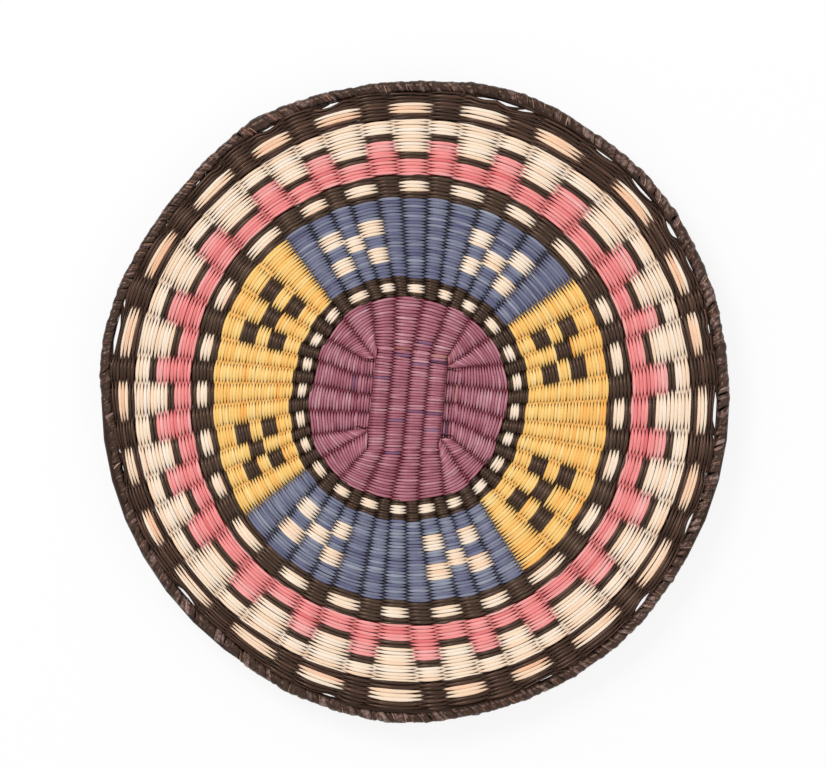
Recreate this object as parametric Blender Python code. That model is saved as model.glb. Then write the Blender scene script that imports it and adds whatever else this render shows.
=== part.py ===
"""Round wicker plaque: a shallow dish woven over forty-eight ribs.

Eight face rods run up and down and eight back rods run across. Each group is woven into its own
panel, the panels are laid crosswise, and sixteen shorter rods are let in at the corners. Every rod
end is a rib. Rings of weft lock the ribs, and a bound core closes the edge. The face looks up, the
top of the face is towards +Y, and the plaque rests on its back panel.
"""

import math
from dataclasses import dataclass

import bmesh
import bpy
from mathutils import Matrix, Vector

# Rods and weft, in metres
ROD_DIAMETER = 0.0030
WEFT_THICKNESS = 0.0016
VALLEY_THICKNESS = 0.0026
GAP = 0.0003
TUNNEL_OVERRUN = 0.0005

# The crossed panels in the middle
WEFT_PASSAGE = 0.0038
PANEL_REACH = 0.0280
PANEL_BEND = 0.0060
CORNER_LEAD = 0.0060

# The widths of the rings, from the middle out
PURPLE_RADIUS = 0.0565
INNER_BLACK_WIDTH = 0.0115
SECTOR_WIDTH = 0.0450
MIDDLE_BLACK_WIDTH = 0.0129
PINK_WIDTH = 0.0142
CREAM_WIDTH = 0.0168
OUTER_BLACK_WIDTH = 0.0136

# The edge
RIM_STANDOFF = 0.0010
RIM_DIAMETER = 0.0066
CORE_DIAMETER = 0.0036

# The dish: how far each ring lies above the middle, and how far the weave starts to the left
PURPLE_RISE = 0.0005
SECTOR_RISE = 0.0048
RIM_RISE = 0.0145
START_SHIFT = 0.0043

# Shares
OVAL_SHARE = 0.0035
EDGE_LEVEL_SHARE = 0.85
WELD_SHARE = 0.01

# Counts
QUARTERS = 4
ARM_RODS = 8
CORNER_RODS = 4
RODS_IN_PAIR = 2
RIM_POINTS = 48
ROD_SIDES = 6
CUT_SIDES = 4
RIM_SIDES = 8
QUARTER_RIBS = ARM_RODS + CORNER_RODS
RIBS = QUARTERS * QUARTER_RIBS
ARM_PAIRS = ARM_RODS // RODS_IN_PAIR

# How the ribs turn and crowd, in degrees clockwise
RIB_STEP = 360 / RIBS
TOP_RIB = 3
PANEL_LEAN = 5.8
LOPSIDE_PHASE = 25.0
CROWDING_PHASE = 43.0

# Sizes that follow
HALF_WEAVE = ROD_DIAMETER / 2 + WEFT_THICKNESS
ROD_PITCH = ROD_DIAMETER + GAP
PAIR_PITCH = RODS_IN_PAIR * ROD_PITCH + WEFT_PASSAGE
PANEL_HALF_WIDTH = PAIR_PITCH * ARM_PAIRS / 2
EDGE_REACH = PANEL_REACH + GAP
KNEE_REACH = PANEL_HALF_WIDTH + GAP
CORNER_START_RADIUS = math.hypot(PANEL_HALF_WIDTH, EDGE_REACH) + CORNER_LEAD
MIDDLE_HEIGHT = 2 * HALF_WEAVE + GAP / 2
PANEL_LEVEL = HALF_WEAVE + GAP / 2
INNER_BLACK_RADIUS = PURPLE_RADIUS + INNER_BLACK_WIDTH
SECTOR_RADIUS = INNER_BLACK_RADIUS + SECTOR_WIDTH
MIDDLE_BLACK_RADIUS = SECTOR_RADIUS + MIDDLE_BLACK_WIDTH
PINK_RADIUS = MIDDLE_BLACK_RADIUS + PINK_WIDTH
CREAM_RADIUS = PINK_RADIUS + CREAM_WIDTH
OUTER_BLACK_RADIUS = CREAM_RADIUS + OUTER_BLACK_WIDTH
RIM_RADIUS = OUTER_BLACK_RADIUS + RIM_STANDOFF + RIM_DIAMETER / 2
CUT_END_RADIUS = RIM_RADIUS * math.cos(math.pi / RIM_POINTS) - CORE_DIAMETER / 2
ROD_END_RADIUS = CUT_END_RADIUS - GAP


@dataclass(frozen=True)
class Station:
    """How the ribs pass one distance from the middle: lengths in metres, turns in degrees."""

    radius: float
    rise: float
    lean: float
    lopside: float
    crowding: float

    def shift(self):
        """How far this ring's middle lies to the left of the rim's."""
        return START_SHIFT * (1 - (self.radius / RIM_RADIUS) ** 3)

    def point(self, rib):
        """Where a rib passes, as a point on the middle of the weave."""
        even = math.radians(RIB_STEP * (rib - TOP_RIB))
        lopside = self.lopside * math.cos(even + math.radians(LOPSIDE_PHASE))
        crowding = self.crowding * math.sin(QUARTERS * even + math.radians(CROWDING_PHASE))
        return self.at(even + math.radians(self.lean - lopside - crowding))

    def at(self, angle):
        """The point at an angle clockwise from the top."""
        x = self.radius * (1 - OVAL_SHARE) * math.sin(angle) - self.shift()
        y = self.radius * (1 + OVAL_SHARE) * math.cos(angle)
        return Vector((x, y, MIDDLE_HEIGHT + self.rise))


PURPLE_END = Station(PURPLE_RADIUS, PURPLE_RISE, lean=4.6, lopside=1.0, crowding=0.3)
SECTOR_END = Station(SECTOR_RADIUS, SECTOR_RISE, lean=2.9, lopside=1.8, crowding=1.6)
RIM = Station(RIM_RADIUS, RIM_RISE, lean=2.3, lopside=2.7, crowding=1.6)
STATIONS = (PURPLE_END, SECTOR_END, RIM)


def rib_point(radius, rib):
    """A point of a rib, which runs straight from station to station."""
    inner, outer = STATIONS[:2] if radius < SECTOR_RADIUS else STATIONS[1:]
    share = (radius - inner.radius) / (outer.radius - inner.radius)
    return inner.point(rib).lerp(outer.point(rib), share)


def ridge_points(radius, rib, ribs=1):
    """The valleys on either side of a rib, or of a few: a ring's wall runs straight between them."""
    return rib_point(radius, rib - 0.5), rib_point(radius, rib - 0.5 + ribs)


def turned(point, quarter):
    """The point turned clockwise with the crossed panels, by whole quarters."""
    turn = math.radians(PANEL_LEAN + quarter * 360 / QUARTERS)
    return Matrix.Rotation(-turn, 3, "Z") @ point + Vector((-START_SHIFT, 0, MIDDLE_HEIGHT))


def pair_offset(step):
    """How far across its pair a place lies: 0 at the valley, then the first rod and the second."""
    rod = (step > 0) + (step > 1)
    return (rod > 0) * (PAIR_PITCH + (2 * rod - 3) * ROD_PITCH) / 2


def arm_x(place):
    """How far across its arm a rod or a valley lies. Whole places are rods, halves valleys."""
    pair, step = divmod(place + 0.5, RODS_IN_PAIR)
    return pair * PAIR_PITCH - PANEL_HALF_WIDTH + pair_offset(step)


def edge_point(rib):
    """Where a rib or a valley crosses the inner edge of the purple weave."""
    quarter, place = divmod(rib + 0.5, QUARTER_RIBS)
    place -= 0.5
    level = PANEL_LEVEL * EDGE_LEVEL_SHARE * (1 if quarter % 2 == 0 else -1)
    if place < ARM_RODS:
        return turned(Vector((arm_x(place), EDGE_REACH, level)), quarter)
    share = 2 * (place + 0.5 - ARM_RODS) / CORNER_RODS
    knee = Vector((KNEE_REACH, KNEE_REACH, 0))
    if share < 1:
        return turned(Vector((KNEE_REACH, EDGE_REACH, level)).lerp(knee, share), quarter)
    return turned(knee.lerp(Vector((EDGE_REACH, KNEE_REACH, -level)), share - 1), quarter)


def arm_points(rib, end_radius):
    """A rib's way from the purple weave's inner edge to the rim."""
    last = rib_point(end_radius, rib)
    return [edge_point(rib), PURPLE_END.point(rib), SECTOR_END.point(rib), last]


def long_rod_points(quarter, place, end_radius):
    """The way of a rod that runs right through the middle, from rim to rim."""
    level = PANEL_LEVEL * (1 if quarter % 2 == 0 else -1)
    bend = PANEL_REACH - PANEL_BEND
    rib = quarter * QUARTER_RIBS + place
    far_rib = (quarter + 2) * QUARTER_RIBS + ARM_RODS - 1 - place
    across = arm_x(place)
    middle = [turned(Vector((across, y, level)), quarter) for y in (bend, -bend)]
    return arm_points(rib, end_radius)[::-1] + middle + arm_points(far_rib, end_radius)


def corner_rod_points(rib, end_radius):
    """The way of a short rod, from beside the panels to the rim."""
    points = arm_points(rib, end_radius)
    edge_radius = (points[0] - turned(Vector((0, 0, 0)), 0)).xy.length
    share = (CORNER_START_RADIUS - edge_radius) / (PURPLE_RADIUS - edge_radius)
    return [points[0].lerp(points[1], share)] + points[1:]


def collection(name, parent):
    """A new collection under another."""
    made = bpy.data.collections.new(name)
    parent.children.link(made)
    return made


def material(name, colour, roughness):
    """A plain surface with a colour and a roughness."""
    made = bpy.data.materials.new(name)
    made.use_nodes = True
    shader = made.node_tree.nodes["Principled BSDF"]
    shader.inputs["Base Color"].default_value = (*colour, 1)
    shader.inputs["Roughness"].default_value = roughness
    shader.inputs["Metallic"].default_value = 0
    return made


def tube(name, points, diameter, sides, group, cyclic=False):
    """A curve with a round bevel along the points."""
    data = bpy.data.curves.new(name, "CURVE")
    data.dimensions = "3D"
    data.twist_mode = "Z_UP"
    data.bevel_depth = diameter / 2
    data.bevel_resolution = (sides - CUT_SIDES) // 2
    data.use_fill_caps = True
    spline = data.splines.new("POLY")
    spline.points.add(len(points) - 1)
    spline.use_cyclic_u = cyclic
    for target, point in zip(spline.points, points):
        target.co = (*point, 1)
    made = bpy.data.objects.new(name, data)
    group.objects.link(made)
    return made


def as_mesh(curve, group):
    """The curve's tube as a closed mesh object, in place of the curve."""
    name = curve.name
    graph = bpy.context.evaluated_depsgraph_get()
    mesh = bpy.data.meshes.new_from_object(curve.evaluated_get(graph))
    shell = bmesh.new()
    shell.from_mesh(mesh)
    bmesh.ops.remove_doubles(shell, verts=shell.verts, dist=GAP * WELD_SHARE)
    shell.to_mesh(mesh)
    shell.free()
    made = bpy.data.objects.new(name, mesh)
    made.matrix_world = curve.matrix_world
    bpy.data.objects.remove(curve)
    made.name = name
    group.objects.link(made)
    return made


def cutter(name, points, diameter, sides, group, cyclic=False):
    """A tube that other pieces are cut with."""
    curve = tube(name, points, diameter, sides, group, cyclic)
    bpy.context.view_layer.update()
    made = as_mesh(curve, group)
    made.hide_render = True
    made.display_type = "WIRE"
    return made


def woven_sheet(name, columns, rows, place, group, surface):
    """A sheet of weave: a grid laid on its middle surface and raised to the weave's thickness.

    place(column, row) gives a point of the middle surface and whether it lies on a ridge.
    """
    sheet = bmesh.new()
    bmesh.ops.create_grid(sheet, x_segments=columns, y_segments=rows, size=0.5)
    thickness = sheet.verts.layers.float.new("thickness")
    for vertex in sheet.verts:
        column = round((vertex.co.x + 0.5) * columns)
        row = round((vertex.co.y + 0.5) * rows)
        vertex.co, ridge = place(column, row)
        vertex[thickness] = 2 * HALF_WEAVE if ridge else VALLEY_THICKNESS
        vertex.co.z -= vertex[thickness] / 2
    bmesh.ops.remove_doubles(sheet, verts=sheet.verts, dist=GAP * WELD_SHARE)
    raised = bmesh.ops.extrude_face_region(sheet, geom=sheet.faces[:], use_keep_orig=True)
    for vertex in (item for item in raised["geom"] if isinstance(item, bmesh.types.BMVert)):
        vertex.co.z += vertex[thickness]
    bmesh.ops.recalc_face_normals(sheet, faces=sheet.faces)
    mesh = bpy.data.meshes.new(name)
    sheet.to_mesh(mesh)
    sheet.free()
    made = bpy.data.objects.new(name, mesh)
    group.objects.link(made)
    mesh.materials.append(surface)
    return made


def cut_tunnels(target, cutters):
    """Cuts the ribs' tunnels through a piece."""
    cut = target.modifiers.new("rib tunnels", "BOOLEAN")
    cut.operation = "DIFFERENCE"
    cut.solver = "EXACT"
    cut.operand_type = "COLLECTION"
    cut.collection = cutters


def add_tunnel(name, points, zones):
    """The cutters round a rod. Each zone between two stations holds one straight run of it."""
    outer, sector, middle = zones
    runs = [(points[-2:], outer), (points[-3:-1], sector)]
    if len(points) > len(STATIONS) + 1:
        runs += [(points[1::-1], outer), (points[2:0:-1], sector), (points[2:-2], middle)]
    else:
        runs.append((points[:-2], middle))
    diameter = (ROD_DIAMETER + 2 * GAP) * math.sqrt(2)
    for number, (run, zone) in enumerate(runs):
        start = run[0] + (run[0] - run[1]).normalized() * TUNNEL_OVERRUN
        end = run[-1] + (run[-1] - run[-2]).normalized() * TUNNEL_OVERRUN
        way = [start] + run[1:-1] + [run[-1] if zone is outer else end]
        cutter(f"{name}_tunnel_{number + 1}", way, diameter, CUT_SIDES, zone)


def add_rods(plaque, zones, surface):
    """The thirty-two rods, each with the tunnel that it needs."""

    def add(name, points_to):
        rod = tube(name, points_to(ROD_END_RADIUS), ROD_DIAMETER, ROD_SIDES, plaque)
        rod.data.materials.append(surface)
        add_tunnel(name, points_to(CUT_END_RADIUS), zones)

    for quarter, side in enumerate(("front", "back")):
        for place in range(ARM_RODS):
            add(f"{side}_rod_{place + 1}", lambda end: long_rod_points(quarter, place, end))
    corner_ribs = [rib for rib in range(RIBS) if rib % QUARTER_RIBS >= ARM_RODS]
    for number, rib in enumerate(corner_ribs):
        add(f"corner_rod_{number + 1}", lambda end: corner_rod_points(rib, end))


def add_panel(name, quarter, plaque, cutters, surface):
    """One of the two crossed panels, woven over four pairs of rods."""
    bend = PANEL_REACH - PANEL_BEND
    side = 1 if quarter % 2 == 0 else -1
    ends = (-PANEL_REACH, -bend, bend, PANEL_REACH)

    def place(column, row):
        pair, step = divmod(column, 3)
        bent = abs(ends[row]) > bend
        level = side * PANEL_LEVEL * (EDGE_LEVEL_SHARE if bent else 1)
        rib = RODS_IN_PAIR * pair + (step - 1 if step else -0.5)
        return turned(Vector((arm_x(rib), ends[row], level)), quarter), step > 0

    columns = 3 * ARM_PAIRS
    made = woven_sheet(name, columns, len(ends) - 1, place, plaque, surface)
    cut_tunnels(made, cutters)


def add_purple_weave(plaque, cutters, surface):
    """The round weave next to the panels, over the ribs while they still run in pairs."""

    def place(column, row):
        pair, step = divmod(column, 3)
        first_rib = RODS_IN_PAIR * pair
        if row == 0:
            return edge_point(first_rib + (step - 1 if step else -0.5)), step > 0
        start, end = ridge_points(PURPLE_RADIUS - GAP / 2, first_rib, RODS_IN_PAIR)
        return start.lerp(end, max(0, step - 0.5) / RODS_IN_PAIR), step > 0

    made = woven_sheet("purple_weave", 3 * RIBS // RODS_IN_PAIR, 1, place, plaque, surface)
    cut_tunnels(made, cutters)


def add_ring(name, radii, plaque, cutters, surface, span=(0, RIBS)):
    """A ring woven over single ribs, or the sector of one that starts at span's first rib."""
    inner, outer = radii[0] + GAP / 2, radii[1] - GAP / 2
    first_rib, ribs = span

    def place(column, row):
        rib, step = divmod(column, 2)
        start, end = ridge_points(outer if row else inner, first_rib + rib)
        inset = (end - start).normalized() * GAP / 2
        if ribs < RIBS and column == 0:
            return start + inset, False
        if ribs < RIBS and column == 2 * ribs:
            return start - inset, False
        return start.lerp(end, step / 2), step > 0

    made = woven_sheet(name, 2 * ribs, 1, place, plaque, surface)
    cut_tunnels(made, cutters)


def add_rim(plaque, cutters, core_surface, binding_surface):
    """The core of bent rod ends and the binding wound round it."""
    points = [RIM.at(2 * math.pi * step / RIM_POINTS) for step in range(RIM_POINTS)]
    core = tube("rim_core", points, CORE_DIAMETER, ROD_SIDES, plaque, cyclic=True)
    core.data.materials.append(core_surface)
    curve = tube("rim_binding", points, RIM_DIAMETER, RIM_SIDES, plaque, cyclic=True)
    bpy.context.view_layer.update()
    binding = as_mesh(curve, plaque)
    binding.data.materials.clear()
    binding.data.materials.append(binding_surface)
    bore_diameter = CORE_DIAMETER + 2 * GAP / math.cos(math.pi / ROD_SIDES)
    cutter("rim_bore", points, bore_diameter, ROD_SIDES, cutters, cyclic=True)
    cut_tunnels(binding, cutters)


def build():
    """Clears the scene and makes the whole plaque."""
    for old in list(bpy.data.objects):
        bpy.data.objects.remove(old)
    plaque = collection("wicker_plaque", bpy.context.scene.collection)
    cutters = collection("rib_tunnels", bpy.context.scene.collection)
    outer = collection("outer_tunnels", cutters)
    sector = collection("sector_tunnels", cutters)
    middle = collection("middle_tunnels", cutters)
    rod = material("rod_wood", (0.50, 0.34, 0.20), 0.7)
    purple = material("purple_weft", (0.28, 0.09, 0.17), 0.6)
    black = material("black_weft", (0.02, 0.017, 0.014), 0.6)
    blue = material("blue_weft", (0.09, 0.11, 0.26), 0.6)
    yellow = material("yellow_weft", (0.91, 0.50, 0.09), 0.6)
    pink = material("pink_weft", (0.74, 0.16, 0.19), 0.6)
    cream = material("cream_weft", (0.98, 0.72, 0.49), 0.6)
    dark = material("rim_strip", (0.04, 0.02, 0.015), 0.6)
    add_rods(plaque, (outer, sector, middle), rod)
    add_rim(plaque, outer, rod, dark)
    add_panel("front_panel_weave", 0, plaque, middle, purple)
    add_panel("back_panel_weave", 1, plaque, middle, purple)
    add_purple_weave(plaque, middle, purple)
    add_ring("inner_black_ring", (PURPLE_RADIUS, INNER_BLACK_RADIUS), plaque, sector, black)
    sectors = ("blue_top", "yellow_right", "blue_bottom", "yellow_left")
    for quarter, name in enumerate(sectors):
        surface = blue if name.startswith("blue") else yellow
        span = (quarter * QUARTER_RIBS - CORNER_RODS // 2, QUARTER_RIBS)
        radii = (INNER_BLACK_RADIUS, SECTOR_RADIUS)
        add_ring(name + "_sector", radii, plaque, sector, surface, span)
    add_ring("middle_black_ring", (SECTOR_RADIUS, MIDDLE_BLACK_RADIUS), plaque, outer, black)
    add_ring("pink_band", (MIDDLE_BLACK_RADIUS, PINK_RADIUS), plaque, outer, pink)
    add_ring("cream_band", (PINK_RADIUS, CREAM_RADIUS), plaque, outer, cream)
    add_ring("outer_black_ring", (CREAM_RADIUS, OUTER_BLACK_RADIUS), plaque, outer, black)


build()
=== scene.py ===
"""Dresses the woven plaque strand by strand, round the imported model's frame.

Every weft is a strand of its own that runs over one rib and under the next, on both faces of the
plaque. The ribs, the two crossed panels in the middle and the bound rim are made the same way.
Lengths are in metres. Places round the plaque are counted in ribs, halves being the valleys.
"""

import logging
import math
from dataclasses import dataclass
from enum import Enum
from typing import Callable, Iterator, Optional, Sequence

import bpy
import numpy as np
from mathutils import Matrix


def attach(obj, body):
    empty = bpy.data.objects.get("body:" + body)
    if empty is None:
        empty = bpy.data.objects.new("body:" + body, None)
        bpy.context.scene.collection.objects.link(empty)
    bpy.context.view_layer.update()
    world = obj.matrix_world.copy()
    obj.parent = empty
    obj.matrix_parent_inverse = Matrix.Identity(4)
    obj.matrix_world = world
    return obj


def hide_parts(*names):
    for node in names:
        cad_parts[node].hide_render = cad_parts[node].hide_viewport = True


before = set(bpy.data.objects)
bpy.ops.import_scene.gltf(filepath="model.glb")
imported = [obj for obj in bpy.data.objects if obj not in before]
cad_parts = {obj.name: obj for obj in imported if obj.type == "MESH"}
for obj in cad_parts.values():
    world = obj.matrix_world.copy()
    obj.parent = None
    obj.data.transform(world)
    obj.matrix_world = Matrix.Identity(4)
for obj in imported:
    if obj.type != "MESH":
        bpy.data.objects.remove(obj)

LOG = logging.getLogger("plaque")
MM = 0.001
BODY = "root"
UP = np.array([[0.0, 0.0, 1.0]])
Array = np.ndarray
Colour = tuple[float, ...]
Draw = np.random.Generator
Socket = bpy.types.NodeSocket
Table = tuple[tuple[float, float], ...]


def linear(code: str) -> Colour:
    """A colour in the renderer's linear terms.

    Args:
        code: The colour as it is seen on screen, as six hexadecimal digits.

    Returns:
        The linear shares of red, green and blue, and full cover.
    """
    shares = (int(code[at:at + 2], 16) / 255 for at in (0, 2, 4))
    lit = (s / 12.92 if s <= 0.04045 else ((s + 0.055) / 1.055) ** 2.4 for s in shares)
    return (*lit, 1.0)


def smooth(values: Array) -> Array:
    """Eases values from 0 to 1, with a level start and end."""
    held = np.clip(values, 0, 1)
    return held * held * (3 - 2 * held)


def unit(vectors: Array) -> Array:
    """Vectors of the same directions and length one."""
    return vectors / np.maximum(np.linalg.norm(vectors, axis=-1, keepdims=True), 1e-12)


def reached(points: Array) -> Array:
    """How far along its line each point lies."""
    steps = np.linalg.norm(np.diff(points, axis=0), axis=1)
    return np.concatenate([[0], np.cumsum(steps)])


def place_object(name: str, data: bpy.types.ID) -> bpy.types.Object:
    """A new object in the scene.

    Args:
        name: Its name.
        data: Its mesh, lamp or camera.

    Returns:
        The object.
    """
    made = bpy.data.objects.new(name, data)
    bpy.context.scene.collection.objects.link(made)
    return made


@dataclass(frozen=True)
class Sizes:
    """The driving sizes that the scene shares with the CAD source."""

    rod: float = 3.0 * MM
    weft: float = 1.6 * MM
    gap: float = 0.3 * MM
    passage: float = 3.8 * MM
    panel_reach: float = 28.0 * MM
    purple: float = 56.5 * MM
    inner_black: float = 68.0 * MM
    sectors: float = 113.0 * MM
    middle_black: float = 125.9 * MM
    cream: float = 156.9 * MM
    outer_black: float = 170.5 * MM
    rim: float = 174.8 * MM
    rim_thickness: float = 6.6 * MM
    rim_rise: float = 14.5 * MM
    start_shift: float = 4.3 * MM
    oval: float = 0.0035
    panel_lean: float = 5.8
    ribs: int = 48
    quarter_ribs: int = 12
    arm_ribs: int = 8
    top_rib: int = 3

    @property
    def half_weave(self) -> float:
        """From the middle of the weave to the crest of a weft over a rib."""
        return self.rod / 2 + self.weft

    @property
    def rod_pitch(self) -> float:
        """From one rod of a pair to the other."""
        return self.rod + self.gap

    @property
    def pair_pitch(self) -> float:
        """From one pair of rods in a panel to the next."""
        return 2 * self.rod_pitch + self.passage

    @property
    def panel_half_width(self) -> float:
        """From the middle of a panel to its side."""
        return 2 * self.pair_pitch

    @property
    def middle_height(self) -> float:
        """How high the middle of the weave lies above the floor."""
        return 2 * self.half_weave + self.gap / 2

    @property
    def panel_level(self) -> float:
        """How far each crossed panel lies above or below the middle of the weave."""
        return self.half_weave + self.gap / 2


SIZES = Sizes()
# The place from which angles round the plaque were read
SIGHT = (-1.9 * MM, -0.8 * MM)


def seen_from_sight(across: Array, up: Array) -> Array:
    """The angles at which points are seen from SIGHT, in radians clockwise from the top."""
    return np.arctan2(across - SIGHT[0], up - SIGHT[1])


def oval_point(radius: Array, turn: Array) -> tuple[Array, Array]:
    """How far across and up points of an oval lie, at angles clockwise from the top."""
    across = radius * (1 - SIZES.oval) * np.sin(turn)
    return across, radius * (1 + SIZES.oval) * np.cos(turn)


def listed(table: Table, degrees: float) -> float:
    """A table's value at an angle, straight from one entry to the next."""
    return float(np.interp(degrees, *np.array(table, float).T))


def eased(table: Table, turn: Array) -> Array:
    """Lengths given in millimetres at some angles, eased between them.

    Args:
        table: Degrees clockwise from the top, each with its length.
        turn: Angles clockwise from the top, in radians.

    Returns:
        The lengths at those angles, in metres.
    """
    degrees, lengths = np.tile(np.array(table, float).T, 3)
    degrees = degrees + np.repeat([-360, 0, 360], len(table))
    at = np.degrees(turn) % 360
    index = np.searchsorted(degrees, at, side="right") - 1
    share = smooth((at - degrees[index]) / (degrees[index + 1] - degrees[index]))
    return (lengths[index] + (lengths[index + 1] - lengths[index]) * share) * MM


@dataclass(frozen=True)
class Station:
    """Where the ribs lie at one distance from the middle.

    Attributes:
        radius: The distance from the middle.
        tip: How far a dash's pointed ends reach beyond its rib's own part, in degrees.
        dashes: Where the pale dash over every other rib starts and ends, in degrees clockwise from
            the top, seen from SIGHT.
        strays: How far the rows stray outwards, in millimetres, by degrees.
    """

    radius: float
    tip: float
    dashes: Table
    strays: Table

    def flat_point(self, ribs: Array) -> Array:
        """Where places round the plaque lie, seen from above.

        Args:
            ribs: Places counted in ribs.

        Returns:
            One row of x and y for each place.
        """
        starts, ends = np.array(self.dashes).T
        bounds = np.stack([starts + self.tip, ends - self.tip], axis=1).ravel()
        turns = np.repeat([-1, 0, 1], SIZES.ribs)
        places = np.tile(SIZES.top_rib - 0.5 + np.arange(SIZES.ribs), 3) + SIZES.ribs * turns
        wanted = np.radians(np.interp(ribs, places, np.tile(bounds, 3) + 360 * turns))
        radius = self.radius + eased(self.strays, wanted)
        shift = SIZES.start_shift * (1 - (self.radius / SIZES.rim) ** 3)
        turn = wanted
        for _ in range(3):
            across, up = oval_point(radius, turn)
            across = across - shift
            missed = wanted - seen_from_sight(across, up)
            turn = turn + (missed + np.pi) % (2 * np.pi) - np.pi
        return np.stack([across, up], axis=-1)


STATIONS = (
    Station(62.3 * MM, 0.3, (
        (-2.3, 6.4), (13.7, 21.2), (27.4, 35.4), (42.6, 52.2), (60.2, 69.0), (75.9, 84.7),
        (92.1, 101.1), (108.3, 115.8), (122.5, 131.1), (137.9, 146.0), (153.5, 161.5),
        (167.8, 176.5), (183.0, 191.3), (197.7, 207.0), (213.2, 221.8), (228.7, 237.5),
        (243.5, 250.8), (256.0, 264.2), (271.1, 278.7), (285.3, 292.3), (298.5, 305.8),
        (312.7, 320.7), (327.8, 337.7), (344.1, 351.4),
    ), (
        (0, 0.1), (15, 0.0), (47, 1.1), (64, 0.8), (80, 0.6), (95, -1.1), (112, -1.1), (127, 0.8),
        (150, 2.6), (173, 0.8), (187, 0.8), (202, 1.1), (225, 2.5), (247, 1.7), (260, 0.0),
        (282, -2.2), (302, -0.3), (325, 2.0), (347, 1.4),
    )),
    Station(119.5 * MM, 0.2, (
        (-3.2, 4.5), (10.5, 19.5), (26.3, 34.8), (42.0, 54.0), (61.7, 68.7), (74.3, 83.0),
        (89.7, 98.0), (104.0, 112.3), (119.5, 128.0), (136.0, 147.0), (153.7, 161.2),
        (166.7, 174.7), (181.0, 188.2), (194.3, 203.2), (209.3, 217.5), (225.5, 236.0),
        (243.0, 249.5), (254.7, 261.8), (268.0, 275.0), (280.7, 288.0), (295.0, 303.5),
        (311.3, 322.0), (329.5, 336.7), (342.0, 350.5),
    ), (
        (0, -0.4), (15, -0.1), (30, 0.4), (48, 0.7), (65, 0.9), (79, -0.8), (94, -1.5),
        (108, -0.1), (124, 2.1), (141, 3.6), (157, 3.4), (171, 1.3), (185, 0.6), (213, 0.7),
        (231, 0.5), (246, -1.1), (258, -2.2), (271, -2.1), (284, -1.2), (299, 0.5), (317, 1.1),
        (333, 0.4), (346, 0.0),
    )),
    Station(163.3 * MM, 0.5, (
        (-4.7, 4.0), (9.6, 19.0), (25.0, 34.5), (43.2, 53.3), (60.0, 69.0), (72.5, 81.2),
        (87.3, 96.7), (102.7, 112.0), (118.7, 129.2), (135.3, 146.5), (151.8, 160.0),
        (165.3, 173.5), (178.0, 188.5), (193.5, 203.0), (208.0, 218.5), (224.5, 234.7),
        (240.0, 247.5), (253.0, 260.5), (265.8, 273.8), (278.5, 288.3), (294.8, 305.3),
        (311.5, 321.8), (327.0, 335.3), (340.8, 349.8),
    ), (
        (0, -0.6), (14, -0.4), (30, 0.0), (48, 1.7), (64, 0.7), (77, -0.6), (92, -0.3),
        (107, 0.4), (124, 1.1), (141, 1.1), (156, 1.6), (169, 1.7), (183, 2.0), (198, 1.2),
        (213, 0.1), (230, 0.4), (244, 1.1), (257, 1.1), (270, 0.7), (283, 1.1), (300, 1.1),
        (317, -0.6), (331, -0.6), (345, -0.3),
    )),
)
# How far the edge strays outwards, in millimetres, by degrees clockwise from the top
EDGE_STRAYS = (
    (0, -0.5), (20, 2.8), (34, 1.6), (48, 2.3), (64, 0.4), (85, -1.6), (110, -2.3), (145, 1.0),
    (165, 1.6), (185, 3.4), (201, 1.2), (220, -2.3), (244, -1.5), (262, -3.0), (280, 1.0),
    (307, -1.4), (330, 1.7), (352, -0.4),
)
# Where the last rows part from the rim: degrees clockwise from the top, half the opening's length
# in degrees, and its width in millimetres
OPENINGS = (
    (13.6, 2.4, 1.5), (19.3, 3.9, 2.5), (38, 2.6, 1.2), (47.8, 3.8, 2.7), (56.7, 2.4, 2.1),
    (64, 2.4, 1.0), (76.5, 1.5, 1.3), (92.4, 5.6, 2.0), (104, 1.6, 1.1), (114, 2.9, 1.8),
    (131, 2.9, 1.8), (154.5, 4.2, 1.2), (195.5, 2.4, 1.6), (229.5, 3.4, 1.7), (258, 4.2, 2.2),
    (283, 7.6, 2.6), (305, 1.6, 1.0), (320, 1.4, 1.0), (332, 2.0, 1.4), (343.7, 3.1, 2.3),
)


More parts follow.
